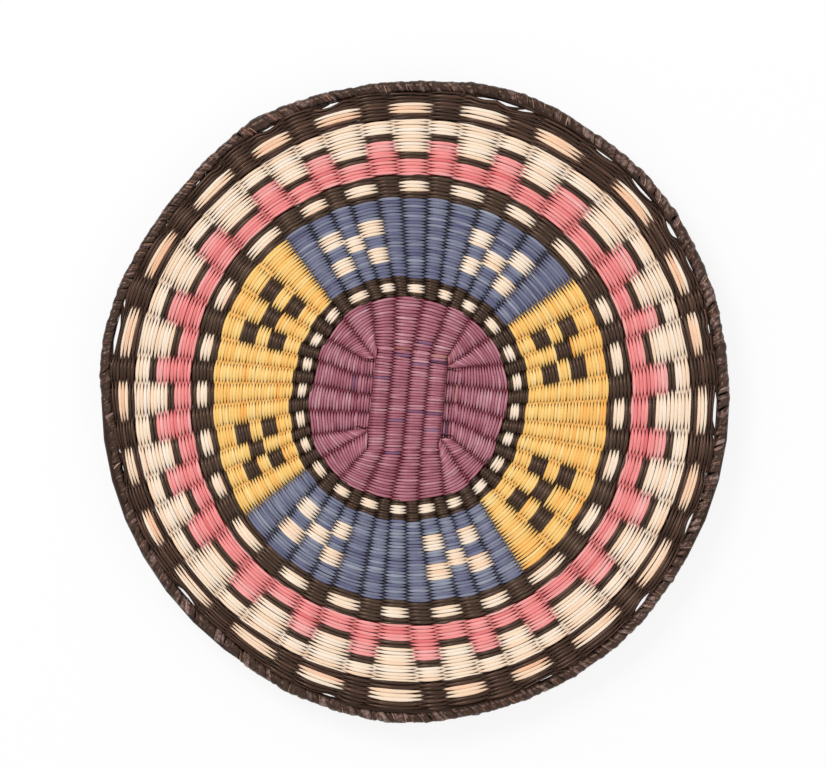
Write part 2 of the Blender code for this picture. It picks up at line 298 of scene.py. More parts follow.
class Ribbing:
    """Where any point of the plaque's middle surface lies."""

    DISH_POWER = 2.6
    # From which radius the rows follow the edge's strays, over what way, and by what shares where
    # the edge strays outwards and inwards
    FOLLOW = (156 * MM, 17 * MM)
    FOLLOW_SHARES = (0.6, 0.85)
    # From which radius the rows part from the rim at an opening, and over what way
    PARTING = (165 * MM, 5.5 * MM)
    # The rim's waves up and down: how many, their phase and their size
    RIM_WAVES = ((5, 1, 0.5 * MM), (11, 0, 0.3 * MM))
    RIM_DROP = 0.3 * MM
    # How the purple weave's edge lies at a panel: its level as a share of the panel's, the places
    # of its corners along the panel's end, and the place of the knee between two panels
    EDGE_LEVEL = 0.85
    EDGE_PLACES = (-0.5, 0, 1, 1.5, 2, 3, 3.5, 4, 5, 5.5, 6, 7, 7.5)
    KNEE_PLACE = 9.5
    # How fast the purple weave comes from the panels' levels to the ring's
    LEVELLING = 1.6

    def rise(self, radius: Array) -> Array:
        """How far the dish lifts at a distance from the middle."""
        return SIZES.rim_rise * (np.abs(radius) / SIZES.rim) ** self.DISH_POWER

    def ring(self, radius: Array, ribs: Array) -> Array:
        """Points of the middle surface in the ringed part of the plaque.

        Args:
            radius: Distances from the middle, one for each place or a single one.
            ribs: Places counted in ribs.

        Returns:
            One row of x, y and z for each place.
        """
        radius = np.broadcast_to(np.asarray(radius, float), ribs.shape)
        inner, middle, outer = (place.flat_point(ribs) for place in STATIONS)
        first, second, third = (place.radius for place in STATIONS)
        outside = (radius > second)[:, None]
        start = np.where(outside, second, first)
        end = np.where(outside, third, second)
        share = (radius[:, None] - start) / (end - start)
        near, far = np.where(outside, middle, inner), np.where(outside, outer, middle)
        flat = near + (far - near) * share
        stray = self.edge_stray(np.arctan2(flat[:, 0], flat[:, 1]))
        follow = smooth((radius - self.FOLLOW[0]) / self.FOLLOW[1])
        follow = follow * np.where(stray > 0, *self.FOLLOW_SHARES)
        flat = flat + unit(flat) * (stray * follow)[:, None]
        parting = self.opening(np.arctan2(flat[:, 0], flat[:, 1]))
        parting = parting * smooth((radius - self.PARTING[0]) / self.PARTING[1])
        flat = flat - unit(flat) * parting[:, None]
        height = SIZES.middle_height + self.rise(radius)
        return np.concatenate([flat, height[:, None]], axis=1)

    def edge_stray(self, turn: Array) -> Array:
        """How far the edge strays outwards from its circle, at angles in radians."""
        return eased(EDGE_STRAYS, turn)

    def opening(self, turn: Array) -> Array:
        """How far the last rows keep from the rim, beyond their usual distance.

        Args:
            turn: Angles clockwise from the top, in radians.

        Returns:
            The distances.
        """
        at = np.degrees(seen_from_sight(SIZES.rim * np.sin(turn), SIZES.rim * np.cos(turn)))
        found = np.zeros(len(at))
        for middle, half, wide in OPENINGS:
            away = ((at - middle + 180) % 360 - 180) / half
            found = np.maximum(found, wide * MM * np.clip(1 - away ** 2, 0, 1))
        return found

    def rim_point(self, turn: Array) -> Array:
        """Points of the rim's middle line.

        Args:
            turn: Angles clockwise from the top, in radians.

        Returns:
            One row of x, y and z for each angle.
        """
        across, up = oval_point(SIZES.rim + self.edge_stray(turn), turn)
        wave = sum(size * np.sin(count * turn + phase) for count, phase, size in self.RIM_WAVES)
        height = SIZES.middle_height + SIZES.rim_rise + wave - self.RIM_DROP
        return np.stack([across, up, height], axis=1)

    def turned(self, points: Array, quarter: float) -> Array:
        """Points of a panel's own frame, turned with it and set in its place.

        Args:
            points: Rows of x across the panel, y along it and z above the middle of the weave.
            quarter: How many quarter turns clockwise the panel's rods have.

        Returns:
            The points in the plaque's frame.
        """
        turn = math.radians(SIZES.panel_lean + 90 * quarter)
        cos, sin = math.cos(turn), math.sin(turn)
        across = points[:, 0] * cos + points[:, 1] * sin - SIZES.start_shift
        along = points[:, 1] * cos - points[:, 0] * sin
        return np.stack([across, along, points[:, 2] + SIZES.middle_height], axis=1)

    def arm_place(self, place: float) -> float:
        """How far across its panel a rod lies.

        Args:
            place: The rod, counted from the panel's left side, or with a half the valley after it.

        Returns:
            The distance from the panel's middle.
        """
        pair, step = divmod(place + 0.5, 2)
        rod = (step > 0) + (step > 1)
        offset = (rod > 0) * (SIZES.pair_pitch + (2 * rod - 3) * SIZES.rod_pitch) / 2
        return pair * SIZES.pair_pitch - SIZES.panel_half_width + offset

    def edge_control(self) -> tuple[Array, Array]:
        """The inner edge of the purple weave as a run of corners.

        Returns:
            The places in ribs, and the points of the edge there.
        """
        level = SIZES.panel_level * self.EDGE_LEVEL
        knee = SIZES.panel_half_width + SIZES.gap
        reach = SIZES.panel_reach + SIZES.gap
        places, points = [], []
        for quarter in range(4):
            up = level if quarter % 2 == 0 else -level
            local = []
            for place in self.EDGE_PLACES:
                across = float(np.clip(self.arm_place(place), -knee, knee))
                local.append((across, reach - PANEL_SKEW.sag(across, quarter), up))
            local.append((knee, knee, 0))
            points.append(self.turned(np.array(local, float), quarter))
            places += [SIZES.quarter_ribs * quarter + place
                       for place in (*self.EDGE_PLACES, self.KNEE_PLACE)]
        return np.array(places), np.concatenate(points)

    def purple(self, share: float, ribs: Array) -> Array:
        """Points of the middle surface between the panels and the first black ring.

        Args:
            share: 0 at the panels' edge and 1 at the black ring.
            ribs: Places counted in ribs.

        Returns:
            One row of x, y and z for each place.
        """
        places, corners = self.edge_control()
        places = np.concatenate([places - SIZES.ribs, places, places + SIZES.ribs])
        corners = np.tile(corners, (3, 1))
        wrapped = ribs % SIZES.ribs
        edge = np.stack([np.interp(wrapped, places, corners[:, axis]) for axis in range(3)], 1)
        outer = self.ring(SIZES.purple, ribs)
        lift = 1 - (1 - max(share, 0)) ** self.LEVELLING
        return edge + (outer - edge) * np.array([share, share, lift])


@dataclass(frozen=True)
class PanelSkew:
    """How the rows of the front panel slope: level rows at the bottom, leaning ones at the top.

    Attributes:
        bottom_slope: The bottom row's slope.
        top_slope: The top row's slope.
        bottom_reach: Where the bottom row lies along the panel.
        top_reach: Where the top row lies.
    """

    bottom_slope: float = 0.10
    top_slope: float = -0.02
    bottom_reach: float = -28.9 * MM
    top_reach: float = 26.6 * MM

    def row(self, share: float, across: Array, quarter: int) -> Array:
        """How far along its panel a row lies.

        Args:
            share: 0 at the bottom row and 1 at the top one.
            across: Places across the panel.
            quarter: 0 for the front panel, 1 for the back one, whose rows lie square.

        Returns:
            The row's places along the panel.
        """
        if quarter:
            return SIZES.panel_reach * (2 * share - 1) + 0 * across
        slope = self.bottom_slope + (self.top_slope - self.bottom_slope) * share
        return self.bottom_reach + (self.top_reach - self.bottom_reach) * share + slope * across

    def sag(self, across: float, quarter: int) -> float:
        """How much nearer than usual the purple weave's edge comes to the middle.

        Args:
            across: A place across the panel.
            quarter: The end of a panel, counted clockwise from the front panel's top.

        Returns:
            The distance.
        """
        if quarter == 0:
            return SIZES.panel_reach - self.top_reach - self.top_slope * across
        if quarter == 2:
            return SIZES.panel_reach + self.bottom_reach - self.bottom_slope * across
        return 0.0


PANEL_SKEW = PanelSkew()


@dataclass
class Strand:
    """One strand: a line of points with the strand's width and thickness along it.

    Attributes:
        points: The strand's middle line, one row for each point.
        across: The direction of its width at each point.
        width: Its width at each point.
        thickness: Its thickness at each point.
        tone: Its place between the dye's deep and pale shades, 0 to 1, alike or point by point.
        wave: Its height in the weave, from -1 under a rib to 1 over one, if it is woven.
        tip: The height in the weave below which painted shade closes in on it to a point, if it
            does.
        closed: Whether it runs round into itself.
    """

    points: Array
    across: Array
    width: Array
    thickness: Array
    tone: float | Array
    wave: Optional[Array] = None
    tip: float = 0.5
    closed: bool = False


class Skein:
    """Gathers strands into one mesh, with what each strand's fibres need."""

    # How square a strand's section is over a rib, and between its neighbours, and the height in
    # the weave at which it has all of the first
    ROUND_POWER = 0.85
    WEDGE_POWER = 1.5
    WEDGE_SPAN = 0.7
    # The part of the weave's height over which painted shade closes in on a strand's tip, to a
    # point
    TIP_SHADE_SPAN = 0.9
    # How much lighter a strand is painted where it dives between its neighbours: painted light that
    # keeps its tip lit
    TIP_PAINTED_LIGHT = 0.06
    # How wide and thick every strand is to its fibres
    FIBRE_WIDTH = 0.8
    FIBRE_THICKNESS = 0.6

    def __init__(self, sides: int = 8) -> None:
        """Starts an empty skein.

        Args:
            sides: How many faces a strand has all round.
        """
        self.sides = sides
        self.vertices: list[Array] = []
        self.quads: list[Array] = []
        self.caps: list[Array] = []
        self.fibre: list[Array] = []
        self.tone: list[Array] = []
        self.crown: list[Array] = []
        self.count = 0

    def add(self, strand: Strand) -> None:
        """Adds a strand's skin.

        Args:
            strand: The strand to add.
        """
        points = strand.points
        if strand.closed:
            tangent = unit(np.roll(points, -1, axis=0) - np.roll(points, 1, axis=0))
        else:
            tangent = unit(np.gradient(points, axis=0))
        across = unit(strand.across - tangent * (strand.across * tangent).sum(1, keepdims=True))
        up = np.cross(tangent, across)
        turn = 2 * np.pi * np.arange(self.sides) / self.sides
        cos, sin = np.cos(turn)[None, :], np.sin(turn)[None, :]
        wave = np.ones(len(points)) if strand.wave is None else strand.wave
        wedge = 1 - smooth(np.abs(wave) / self.WEDGE_SPAN)
        power = (self.ROUND_POWER + (self.WEDGE_POWER - self.ROUND_POWER) * wedge)[:, None]
        wide = strand.width[:, None] / 2 * np.sign(cos) * np.abs(cos) ** power
        high = strand.thickness[:, None] / 2 * np.sign(sin) * np.abs(sin) ** power
        side = across[:, None, :] * wide[:, :, None]
        skin = points[:, None, :] + side + up[:, None, :] * high[:, :, None]
        fibre = np.stack(np.broadcast_arrays(
            reached(points)[:, None], cos * self.FIBRE_WIDTH * MM,
            sin * self.FIBRE_THICKNESS * MM + self.count * MM,
        ), axis=-1)
        # Painted shade: the strand's sides, and each face where it sinks below its neighbours, take
        # the gaps' shade; a strand without a wave counts as over a rib, so its underside is shaded
        shade = smooth((strand.tip - np.sign(sin) * wave[:, None]) / self.TIP_SHADE_SPAN)
        # Painted light: a strand's tone is raised where it dives between its neighbours, so its tip
        # stays lit
        tone = (strand.tone + self.TIP_PAINTED_LIGHT * wedge)[:, None]
        self.note(fibre, tone, np.clip(np.abs(sin) - shade, 0, 1))
        self.add_skin(skin, strand.closed)

    def note(self, fibre: Array, tone: Array, crown: Array) -> None:
        """Notes what the fibres need, for a skin added on its own.

        Args:
            fibre: Each point's place along, across and through the strand.
            tone: Each section's or each point's place between the dye's shades.
            crown: How clear each point is of painted shade, 0 to 1, 0 at the strand's edge.
        """
        self.fibre.append(fibre.reshape(-1, 3))
        self.tone.append(np.broadcast_to(tone, crown.shape).reshape(-1))
        self.crown.append(crown.reshape(-1))

    def add_skin(self, skin: Array, closed: bool) -> None:
        """Adds the faces over a run of sections.

        Args:
            skin: The points of each section, in order along the strand.
            closed: Whether the last section joins the first.
        """
        number = len(skin)
        rows = np.arange(number if closed else number - 1)[:, None]
        near, far = rows * self.sides, (rows + 1) % number * self.sides
        here = np.arange(self.sides)
        beside = (here + 1) % self.sides
        quads = np.stack([near + here, near + beside, far + beside, far + here], -1)
        self.quads.append(quads.reshape(-1, 4) + self.count)
        if not closed:
            self.caps.append(here[::-1] + self.count)
            self.caps.append(here + self.count + (number - 1) * self.sides)
        self.vertices.append(skin.reshape(-1, 3))
        self.count += number * self.sides

    def make(self, name: str) -> bpy.types.Object:
        """The gathered strands as one object.

        Args:
            name: The object's name.

        Returns:
            The object, linked to the scene.
        """
        vertices, quads = np.concatenate(self.vertices), np.concatenate(self.quads)
        sizes = np.array([4] * len(quads) + [self.sides] * len(self.caps))
        corners = np.concatenate([quads.reshape(-1), *self.caps]).astype(np.int32)
        mesh = bpy.data.meshes.new(name)
        mesh.vertices.add(len(vertices))
        mesh.vertices.foreach_set("co", vertices.astype(np.float32).ravel())
        mesh.loops.add(len(corners))
        mesh.loops.foreach_set("vertex_index", corners)
        mesh.polygons.add(len(sizes))
        starts = np.concatenate([[0], np.cumsum(sizes)[:-1]]).astype(np.int32)
        mesh.polygons.foreach_set("loop_start", starts)
        mesh.update(calc_edges=True)
        mesh.polygons.foreach_set("use_smooth", np.arange(len(sizes)) < len(quads))
        for label, kind, key, values in (
            ("fibre", "FLOAT_VECTOR", "vector", self.fibre),
            ("tone", "FLOAT", "value", self.tone),
            ("crown", "FLOAT", "value", self.crown),
        ):
            layer = mesh.attributes.new(label, kind, "POINT")
            layer.data.foreach_set(key, np.concatenate(values).astype(np.float32).ravel())
        mesh.validate()
        return place_object(name, mesh)


class Nodes:
    """Builds a node tree with short calls."""

    def __init__(self, holder: bpy.types.Material | bpy.types.World) -> None:
        """Starts on the tree of a material or of a world."""
        holder.use_nodes = True
        self.tree = holder.node_tree

    def add(self, kind: str, **values: object) -> bpy.types.Node:
        """Adds a node.

        Args:
            kind: The node's type, without its ShaderNode prefix.
            values: Properties to set, and inputs to fill or link, by their names in lower case.

        Returns:
            The node.
        """
        node = self.tree.nodes.new("ShaderNode" + kind)
        for key, value in values.items():
            named = [s for s in node.inputs if s.name.lower().replace(" ", "_") == key]
            if named:
                self.feed(named[0], value)
            else:
                setattr(node, key, value)
        return node

    def feed(self, socket: Socket, value: object) -> None:
        """Links a socket, or sets its number or colour.

        Args:
            socket: The socket.
            value: The socket to link it to, or what to set.
        """
        if isinstance(value, Socket):
            self.tree.links.new(value, socket)
        else:
            socket.default_value = value

    def attribute(self, name: str, output: str = "Fac") -> Socket:
        """A value that the mesh carries."""
        return self.add("Attribute", attribute_name=name).outputs[output]

    def noise(self, vector: Socket, scale: float | Colour, detail: float,
              roughness: float = 0.5) -> Socket:
        """A cloudy value from 0 to 1.

        Args:
            vector: Where the value is taken.
            scale: How fine the clouds are, alike or by its own scale on each axis.
            detail: How many finer layers they have.
            roughness: How strong the finer layers are.

        Returns:
            The value.
        """
        if isinstance(scale, tuple):
            vector = self.add("Mapping", vector=vector, scale=scale).outputs["Vector"]
            scale = 1.0
        node = self.add("TexNoise", vector=vector, scale=scale, detail=detail,
                        roughness=roughness)
        return node.outputs["Fac"]

    def ramp(self, value: Socket, colours: Sequence[Colour]) -> Socket:
        """A colour for a value from 0 to 1, eased between evenly spaced ones.

        Args:
            value: The value.
            colours: The colours, from 0 to 1.

        Returns:
            The colour.
        """
        node = self.add("ValToRGB", fac=value)
        elements = node.color_ramp.elements
        while len(elements) < len(colours):
            elements.new(1.0)
        for number, (element, colour) in enumerate(zip(elements, colours)):
            element.position = number / (len(colours) - 1)
            element.color = colour
        return node.outputs["Color"]

    def span(self, value: Socket, low: float, high: float, start: float, end: float) -> Socket:
        """A value moved from one span to another and held inside it."""
        return self.add("MapRange", value=value, from_min=low, from_max=high, to_min=start,
                        to_max=end).outputs["Result"]

    def blend(self, share: object, first: object, second: object, way: str = "MIX") -> Socket:
        """Two colours mixed.

        Args:
            share: How much of the second shows.
            first: The first colour.
            second: The second colour.
            way: One of the Mix node's ways.

        Returns:
            The mixed colour.
        """
        node = self.add("Mix", data_type="RGBA", blend_type=way)
        for index, value in ((0, share), (6, first), (7, second)):
            self.feed(node.inputs[index], value)
        return node.outputs[2]

    def math(self, operation: str, *values: Socket) -> Socket:
        """The result of one operation on two numbers.

        Args:
            operation: The Math node's operation.
            values: The two numbers.

        Returns:
            The result.
        """
        node = self.add("Math", operation=operation)
        for socket, value in zip(node.inputs, values):
            self.feed(socket, value)
        return node.outputs[0]

    def seen(self) -> Socket:
        """What tells the camera's rays from those of light.

        Returns:
            1 for what is seen, straight, in a mirror or through glass, and 0 for light.
        """
        rays = self.add("LightPath").outputs
        seen = self.math("MAXIMUM", rays["Is Camera Ray"], rays["Is Glossy Ray"])
        return self.math("MAXIMUM", seen, rays["Is Transmission Ray"])


# The part of its range that a noise mostly keeps to
CLOUD_LOW, CLOUD_HIGH = 0.3, 0.7
# How many times a fibre's shade changes in a metre along the strand
FIBRE_CHANGES = 130.0
# How fine the spots of bark are along and round a strand, and the noise at which they start and
# are full
FLECK_SCALE = (260.0, 900.0, 900.0)
FLECK_START, FLECK_FULL = 0.68, 0.74
FLECK_COVER = 0.75
# How much of the gaps' painted shade a strand's edge has at most
PAINTED_SHADE_COVER = 0.92
FIBRE_RELIEF = 0.12 * MM
WARM_SHEEN = (1.0, 0.65, 0.49, 1)


@dataclass(frozen=True)
class Dye:
    """The finish of a split stem: its dye, and how evenly it took.

    Attributes:
        name: The material's name.
        slot: The record's material slot; not used.
        shades: The shades of the darkest, the usual and the palest strands, and the painted
        shade of the gaps between them.
        roughness: How dull the surface is.
        streaks: How strongly the fibres show, as a share.
        groove_end: How far up a strand's side the painted shade of the gaps reaches.
        flecks: The shade of the spots where bark is left on, if any.
        patches: How unevenly the dye took along a strand.
        tip: The height in the weave below which painted shade closes in on a strand to a point.
        grain: How many fibres lie across a metre.
        gloss: How strongly it reflects.
        mottle: How fine its cloudy shades are, and how strong.
    """

    name: str
    slot: str
    shades: str
    roughness: float = 0.5
    streaks: float = 0.35
    groove_end: float = 0.75
    flecks: Optional[str] = None
    patches: float = 0.12
    tip: float = 0.5
    grain: float = 4200.0
    gloss: float = 0.35
    mottle: tuple[float, float] = (45.0, 0.08)

    def material(self) -> bpy.types.Material:
        """The finish as a node material.

        Returns:
            The material.
        """
        known = bpy.data.materials.get(self.name)
        if known:
            return known
        made = bpy.data.materials.new(self.name)
        nodes = Nodes(made)
        surface = nodes.tree.nodes["Principled BSDF"].inputs
        *strand, painted_shade_colour = (linear(code) for code in self.shades.split())
        fibre = nodes.attribute("fibre", "Vector")
        tone = nodes.attribute("tone")
        place = nodes.add("TexCoord").outputs["Object"]
        fine, strong = self.mottle
        cloud = nodes.noise(place, fine, 3.0)
        cloud = nodes.span(cloud, CLOUD_LOW, CLOUD_HIGH, -strong, strong)
        dyed = nodes.ramp(nodes.math("ADD", tone, cloud), strand)
        lines = nodes.noise(fibre, (FIBRE_CHANGES, self.grain, self.grain), 3.0, 0.6)
        streak = nodes.span(lines, CLOUD_LOW, CLOUD_HIGH, 1 - self.streaks, 1 + self.streaks * 0.5)
        grey = nodes.add("CombineColor", red=streak, green=streak, blue=streak).outputs["Color"]
        dyed = nodes.blend(1.0, dyed, grey, "MULTIPLY")
        if self.flecks:
            spots = nodes.noise(fibre, FLECK_SCALE, 2.0, 0.7)
            spots = nodes.span(spots, FLECK_START, FLECK_FULL, 0.0, FLECK_COVER)
            dyed = nodes.blend(spots, dyed, linear(self.flecks))
        # Painted shade: the gaps' colour over a strand's sides and over its tips that dive under
        # its neighbours
        edge = nodes.span(nodes.attribute("crown"), 0.0, self.groove_end, PAINTED_SHADE_COVER, 0.0)
        nodes.feed(surface["Base Color"], nodes.blend(edge, dyed, painted_shade_colour))
        nodes.feed(surface["Roughness"], nodes.span(
            lines, CLOUD_LOW, CLOUD_HIGH, self.roughness - 0.08, self.roughness + 0.12))
        bump = nodes.add("Bump", strength=0.35, distance=FIBRE_RELIEF, height=lines)
        nodes.feed(surface["Normal"], bump.outputs["Normal"])
        surface["Specular IOR Level"].default_value = self.gloss
        surface["Specular Tint"].default_value = WARM_SHEEN
        return made


class Weft(Enum):
    """The dyes of the weft, and the finishes of the rim and the rods."""

    PURPLE = Dye("purple_dye", "purple_weft", "924e62 b26b7e d6a2ae 6c0c1c", roughness=0.36,
                 tip=0.62, gloss=0.6)
    VIOLET = Dye("violet_dye", "purple_weft", "724a6a 885c7c 9c7490 460c1e", groove_end=0.68,
                 tip=0.62)
    TAN = Dye("tan_stem", "purple_weft", "965c5c b07270 c48e8a 54121a", groove_end=0.68,
              tip=0.62)
    BLACK = Dye("black_dye", "black_weft", "1d130c 2a1d14 4c3c30 0c0503", streaks=0.4,
                roughness=0.34, tip=0.1, gloss=0.6)
    BROWN_BLACK = Dye("brown_black_dye", "black_weft", "150a06 21110b 4c352a 0b0402",
                      streaks=0.5, roughness=0.33, flecks="7e5c46", patches=0.25, tip=0.1,
                      gloss=0.55)
    BLUE = Dye("blue_dye", "blue_weft", "585c7e 747993 9aa1b2 0e080e", groove_end=0.62,
               tip=0.66, flecks="b0aa96", patches=0.2)
    YELLOW = Dye("yellow_dye", "yellow_weft", "ffb85c ffd17a ffe6a2 c45416", streaks=0.14,
                 groove_end=0.46, tip=0.25)
    PINK = Dye("pink_dye", "pink_weft", "ee767a ff9b99 ffc2be 800e12", streaks=0.3,
               groove_end=0.73, tip=0.4)
    CREAM = Dye("cream_stem", "cream_weft", "fdd3b1 ffe8cd fff3e4 5c2416", streaks=0.1,
                groove_end=0.58, tip=0.36)
    PEACH = Dye("peach_stem", "cream_weft", "fac4a0 ffdebe ffefd9 5c2418", streaks=0.14,
                groove_end=0.56, patches=0.3, tip=0.4)
    RIM = Dye("rim_leaf", "rim_strip", "140a08 301f1b 9a7f7a 080302", roughness=0.32,
              streaks=1.0, groove_end=0.8, flecks="88604a", grain=2200.0, gloss=0.6,
              mottle=(520.0, 0.3))
    RIM_EDGE = Dye("rim_leaf_edge", "rim_strip", "603c2c 9e7056 dcb296 321810", groove_end=0.2)
    RIM_RED = Dye("rim_red_leaf", "rim_strip", "2a1410 542a22 96685c 120503", roughness=0.32,
                  streaks=0.8, groove_end=0.7, grain=2200.0, gloss=0.6)
    ROD = Dye("peeled_rod", "rod_wood", "221511 8c6448 be966e 140a07", groove_end=0.3)

    def dress(self, piece: bpy.types.Object, *replaced: str) -> None:
        """Puts the finish on a piece and ties it to the frame.

        Args:
            piece: The piece.
            replaced: The CAD nodes that it stands for.
        """
        piece.data.materials.clear()
        piece.data.materials.append(self.value.material())
        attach(piece, BODY)
        if replaced:
            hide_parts(*replaced)
        LOG.info("%s: %d faces", piece.name, len(piece.data.polygons))


@dataclass(frozen=True)
class Weave:
    """How a strand changes on its way over and under the ribs.

    Attributes:
        reach: From the middle of the weave to the strand's middle over a rib.
        thickness: The strand's thickness over a rib.
        tall: Its height where it squeezes between its neighbours.
        fill: How much of its room a strand fills over a rib.
        squeezed: The same where it squeezes between its neighbours.
    """

    # The height in the wave at which a strand starts to spread, and over what way it does
    SPREAD_START, SPREAD_WAY = 0.02, 0.95

    reach: float = 2.45 * MM
    thickness: float = 0.95 * MM
    tall: float = 1.5 * MM
    fill: float = 1.1
    squeezed: float = 1.3

    def full(self, crest: Array) -> Array:
        """How far a strand has spread, by its height in the wave."""
        return smooth((np.abs(crest) - self.SPREAD_START) / self.SPREAD_WAY)

    def width(self, crest: Array, pitch: float | Array) -> Array:
        """The strand's width by its height in the wave."""
        return pitch * (self.squeezed + (2 * self.fill - self.squeezed) * self.full(crest))

    def depth(self, crest: Array) -> Array:
        """The strand's thickness by its height in the wave."""
        return self.tall + (self.thickness - self.tall) * self.full(crest)


WEAVE = Weave()
FINE_WEAVE = Weave(thickness=1.2 * MM, fill=1.0, squeezed=1.28)
# Where a strand has points, as shares of the way from one crossing to the next
FLOAT_STEPS = np.array([0, 0.06, 0.12, 0.2, 0.3, 0.42, 0.58, 0.7, 0.8, 0.88, 0.94])
# The weft of a float: whether it lies over an odd rib, its number there and its rib
Pattern = Callable[[bool, int, int], Weft]


def stops(start: float, end: float, closed: bool, crossing: float = 0.5,
          length: float = 1.0) -> Array:
    """Where a strand's points lie along it, closer together at the crossings.

    Args:
        start: Where it starts, in ribs.
        end: Where it ends.
        closed: Whether it runs all round.
        crossing: The place of one of the crossings.
        length: From one crossing to the next.

    Returns:
        The places in ribs.
    """
    first = math.floor((start - crossing) / length)
    last = math.ceil((end - crossing) / length)
    floats = np.arange(first, last + 1)[:, None] + FLOAT_STEPS
    places = crossing + length * floats.ravel()
    if closed:
        return places[(places > start - 1e-6) & (places < end - 1e-6)]
    inside = places[(places > start + 0.02) & (places < end - 0.02)]
    return np.concatenate([[start], inside, [end]])


@dataclass
class Woven:
    """What every part made of strands starts from.

    Attributes:
        ribbing: Where the ribs run.
        seed: Where its random draws start.
    """

    ribbing: Ribbing
    seed: int

    def __post_init__(self) -> None:
        """Starts the random draws."""
        self.draw = np.random.default_rng(self.seed)

    def angle(self) -> float:
        """A random angle in radians."""
        return self.draw.uniform(0, 6.3)

    def uneven(self, ribs: Array, share: float, usual: float = 1.0, least: float = -2.0,
               most: float = 1.2) -> Array:
        """A strand's own uneven size, which changes from rib to rib.

        Args:
            ribs: Places counted in ribs.
            share: How uneven it is.
            usual: The usual size.
            least: The greatest step down from it, in shares.
            most: The greatest step up.

        Returns:
            The size at each place.
        """
        changes = self.draw.normal(0, share, SIZES.ribs)
        sizes = usual + np.clip(changes, least * share, most * share)
        places = np.arange(SIZES.ribs + 1)
        return np.interp(ribs % SIZES.ribs, places, sizes[places % SIZES.ribs])


@dataclass
class Ring(Woven):
    """A part of the ringed weave: some rows between two radii.

    Attributes:
        name: Its name, which its pieces' names start with.
        inner: Its inner radius.
        outer: Its outer radius.
        rows: How many rows it has, those over even and over odd ribs counted alike.
        pattern: The weft of a float.
        nodes: The CAD nodes that each weft's piece stands for.
        wobble: How far its rows wander off their circles.
        slip: How far the strands' crests lie off the ribs, in ribs.
        bias: How much deeper the strands lie under a rib than over one.
    """

    # How many waves the rows wander in, all round
    WAVES = np.array([3, 7, 13, 24])
    WIDTH_SHARE = 0.05
    DEPTH_SHARE = 0.06
    TONE_SHARE = 0.14
    # The ribs between which the lower blue sector lies, and its fading as a step in tone
    FADED_RIBS = (19, 36)
    FADING = 0.12

    name: str
    inner: float
    outer: float
    rows: int
    pattern: Pattern
    nodes: dict[Weft, tuple[str, ...]]
    wobble: float = 0.10 * MM
    slip: float = 0.025
    bias: float = 0.0

    def wander(self) -> Callable[[Array], Array]:
        """A row's small way off its circle, the same at both ends.

        Returns:
            What gives the distance outwards at places counted in ribs.
        """
        phases = self.draw.uniform(0, 2 * np.pi, 4)
        sizes = self.draw.normal(0, self.wobble / 2, 4)

        def way(ribs: Array) -> Array:
            """The distance outwards at places counted in ribs."""
            turns = 2 * np.pi * ribs[:, None] * self.WAVES / SIZES.ribs + phases
            return (sizes * np.sin(turns)).sum(1)

        return way

    def run(self, weft: Weft, number: int, ends: tuple[float, float, bool],
            wander: Callable[[Array], Array]) -> Strand:
        """A strand of one row, between two places.

        Args:
            weft: The strand's dye.
            number: The row, counted outwards.
            ends: Where the strand starts and ends, in ribs, and whether it runs all round.
            wander: The row's way off its circle.

        Returns:
            The strand.
        """
        ribs = stops(*ends)
        pitch = (self.outer - self.inner) / self.rows
        radius = self.inner + (number + 0.5) * pitch + wander(ribs)
        side = 1 if number % 2 else -1
        crest = side * np.cos(np.pi * (ribs + self.uneven(ribs, self.slip) - 1))
        crest = crest - side * self.bias
        middle = self.ribbing.ring(radius, ribs)
        outwards = (self.ribbing.ring(radius + 0.5 * MM, ribs) - middle) / (0.5 * MM)
        points = middle + UP * (crest * WEAVE.reach)[:, None]
        room = pitch * np.linalg.norm(outwards[:, :2], axis=1)
        width = WEAVE.width(crest, room) * self.uneven(ribs, self.WIDTH_SHARE)
        depth = WEAVE.depth(crest) * self.uneven(ribs, self.DEPTH_SHARE)
        tone = float(np.clip(self.draw.normal(0.5, self.TONE_SHARE), 0, 1))
        tone = tone + self.uneven(ribs, weft.value.patches) - 1
        if weft is Weft.BLUE and self.FADED_RIBS[0] < ends[0] < self.FADED_RIBS[1]:
            tone = tone + self.FADING
        return Strand(points, outwards, width, depth, tone, crest, weft.value.tip, ends[2])

    def runs(self, number: int) -> Iterator[tuple[Weft, tuple[float, float, bool]]]:
        """The strands of one row: each weft with its start, its end and whether it is closed.

        Args:
            number: The row, counted outwards.

        Yields:
            The weft, with the first and the last place in ribs and whether it runs all round.
        """
        odd = number % 2 == 0
        floats = [rib for rib in range(SIZES.ribs) if rib % 2 == odd]
        wefts = [self.pattern(odd, number // 2, rib) for rib in floats]
        changes = [at for at in range(len(floats)) if wefts[at] is not wefts[at - 1]]
        if not changes:
            yield wefts[0], (0.0, float(SIZES.ribs), True)
            return
        for at, following in zip(changes, changes[1:] + [changes[0] + len(floats)]):
            start = floats[at] - 1
            yield wefts[at], (float(start), float(start + 2 * (following - at)), False)

    def weave(self) -> None:
        """Makes every strand of the ring, gathered by weft."""
        skeins: dict[Weft, Skein] = {}
        for number in range(self.rows):
            wander = self.wander()
            for weft, ends in self.runs(number):
                skein = skeins.setdefault(weft, Skein())
                skein.add(self.run(weft, number, ends, wander))
        for weft, skein in skeins.items():
            piece = skein.make(f"{self.name}_{weft.name.lower()}")
            weft.dress(piece, *self.nodes.get(weft, ()))


# The floats of a dash
DASH_FLOATS = range(2, 5)
# The blocks of the small crosses: the ribs of a sector that they lie over, and their floats there
CROSS_BLOCKS = (((1, 3, 8, 10), (*range(5, 10), *range(14, 19))), ((2, 9), range(10, 15)))
# How many ribs before the top rib's own the first sector starts
SECTOR_SHIFT = 2
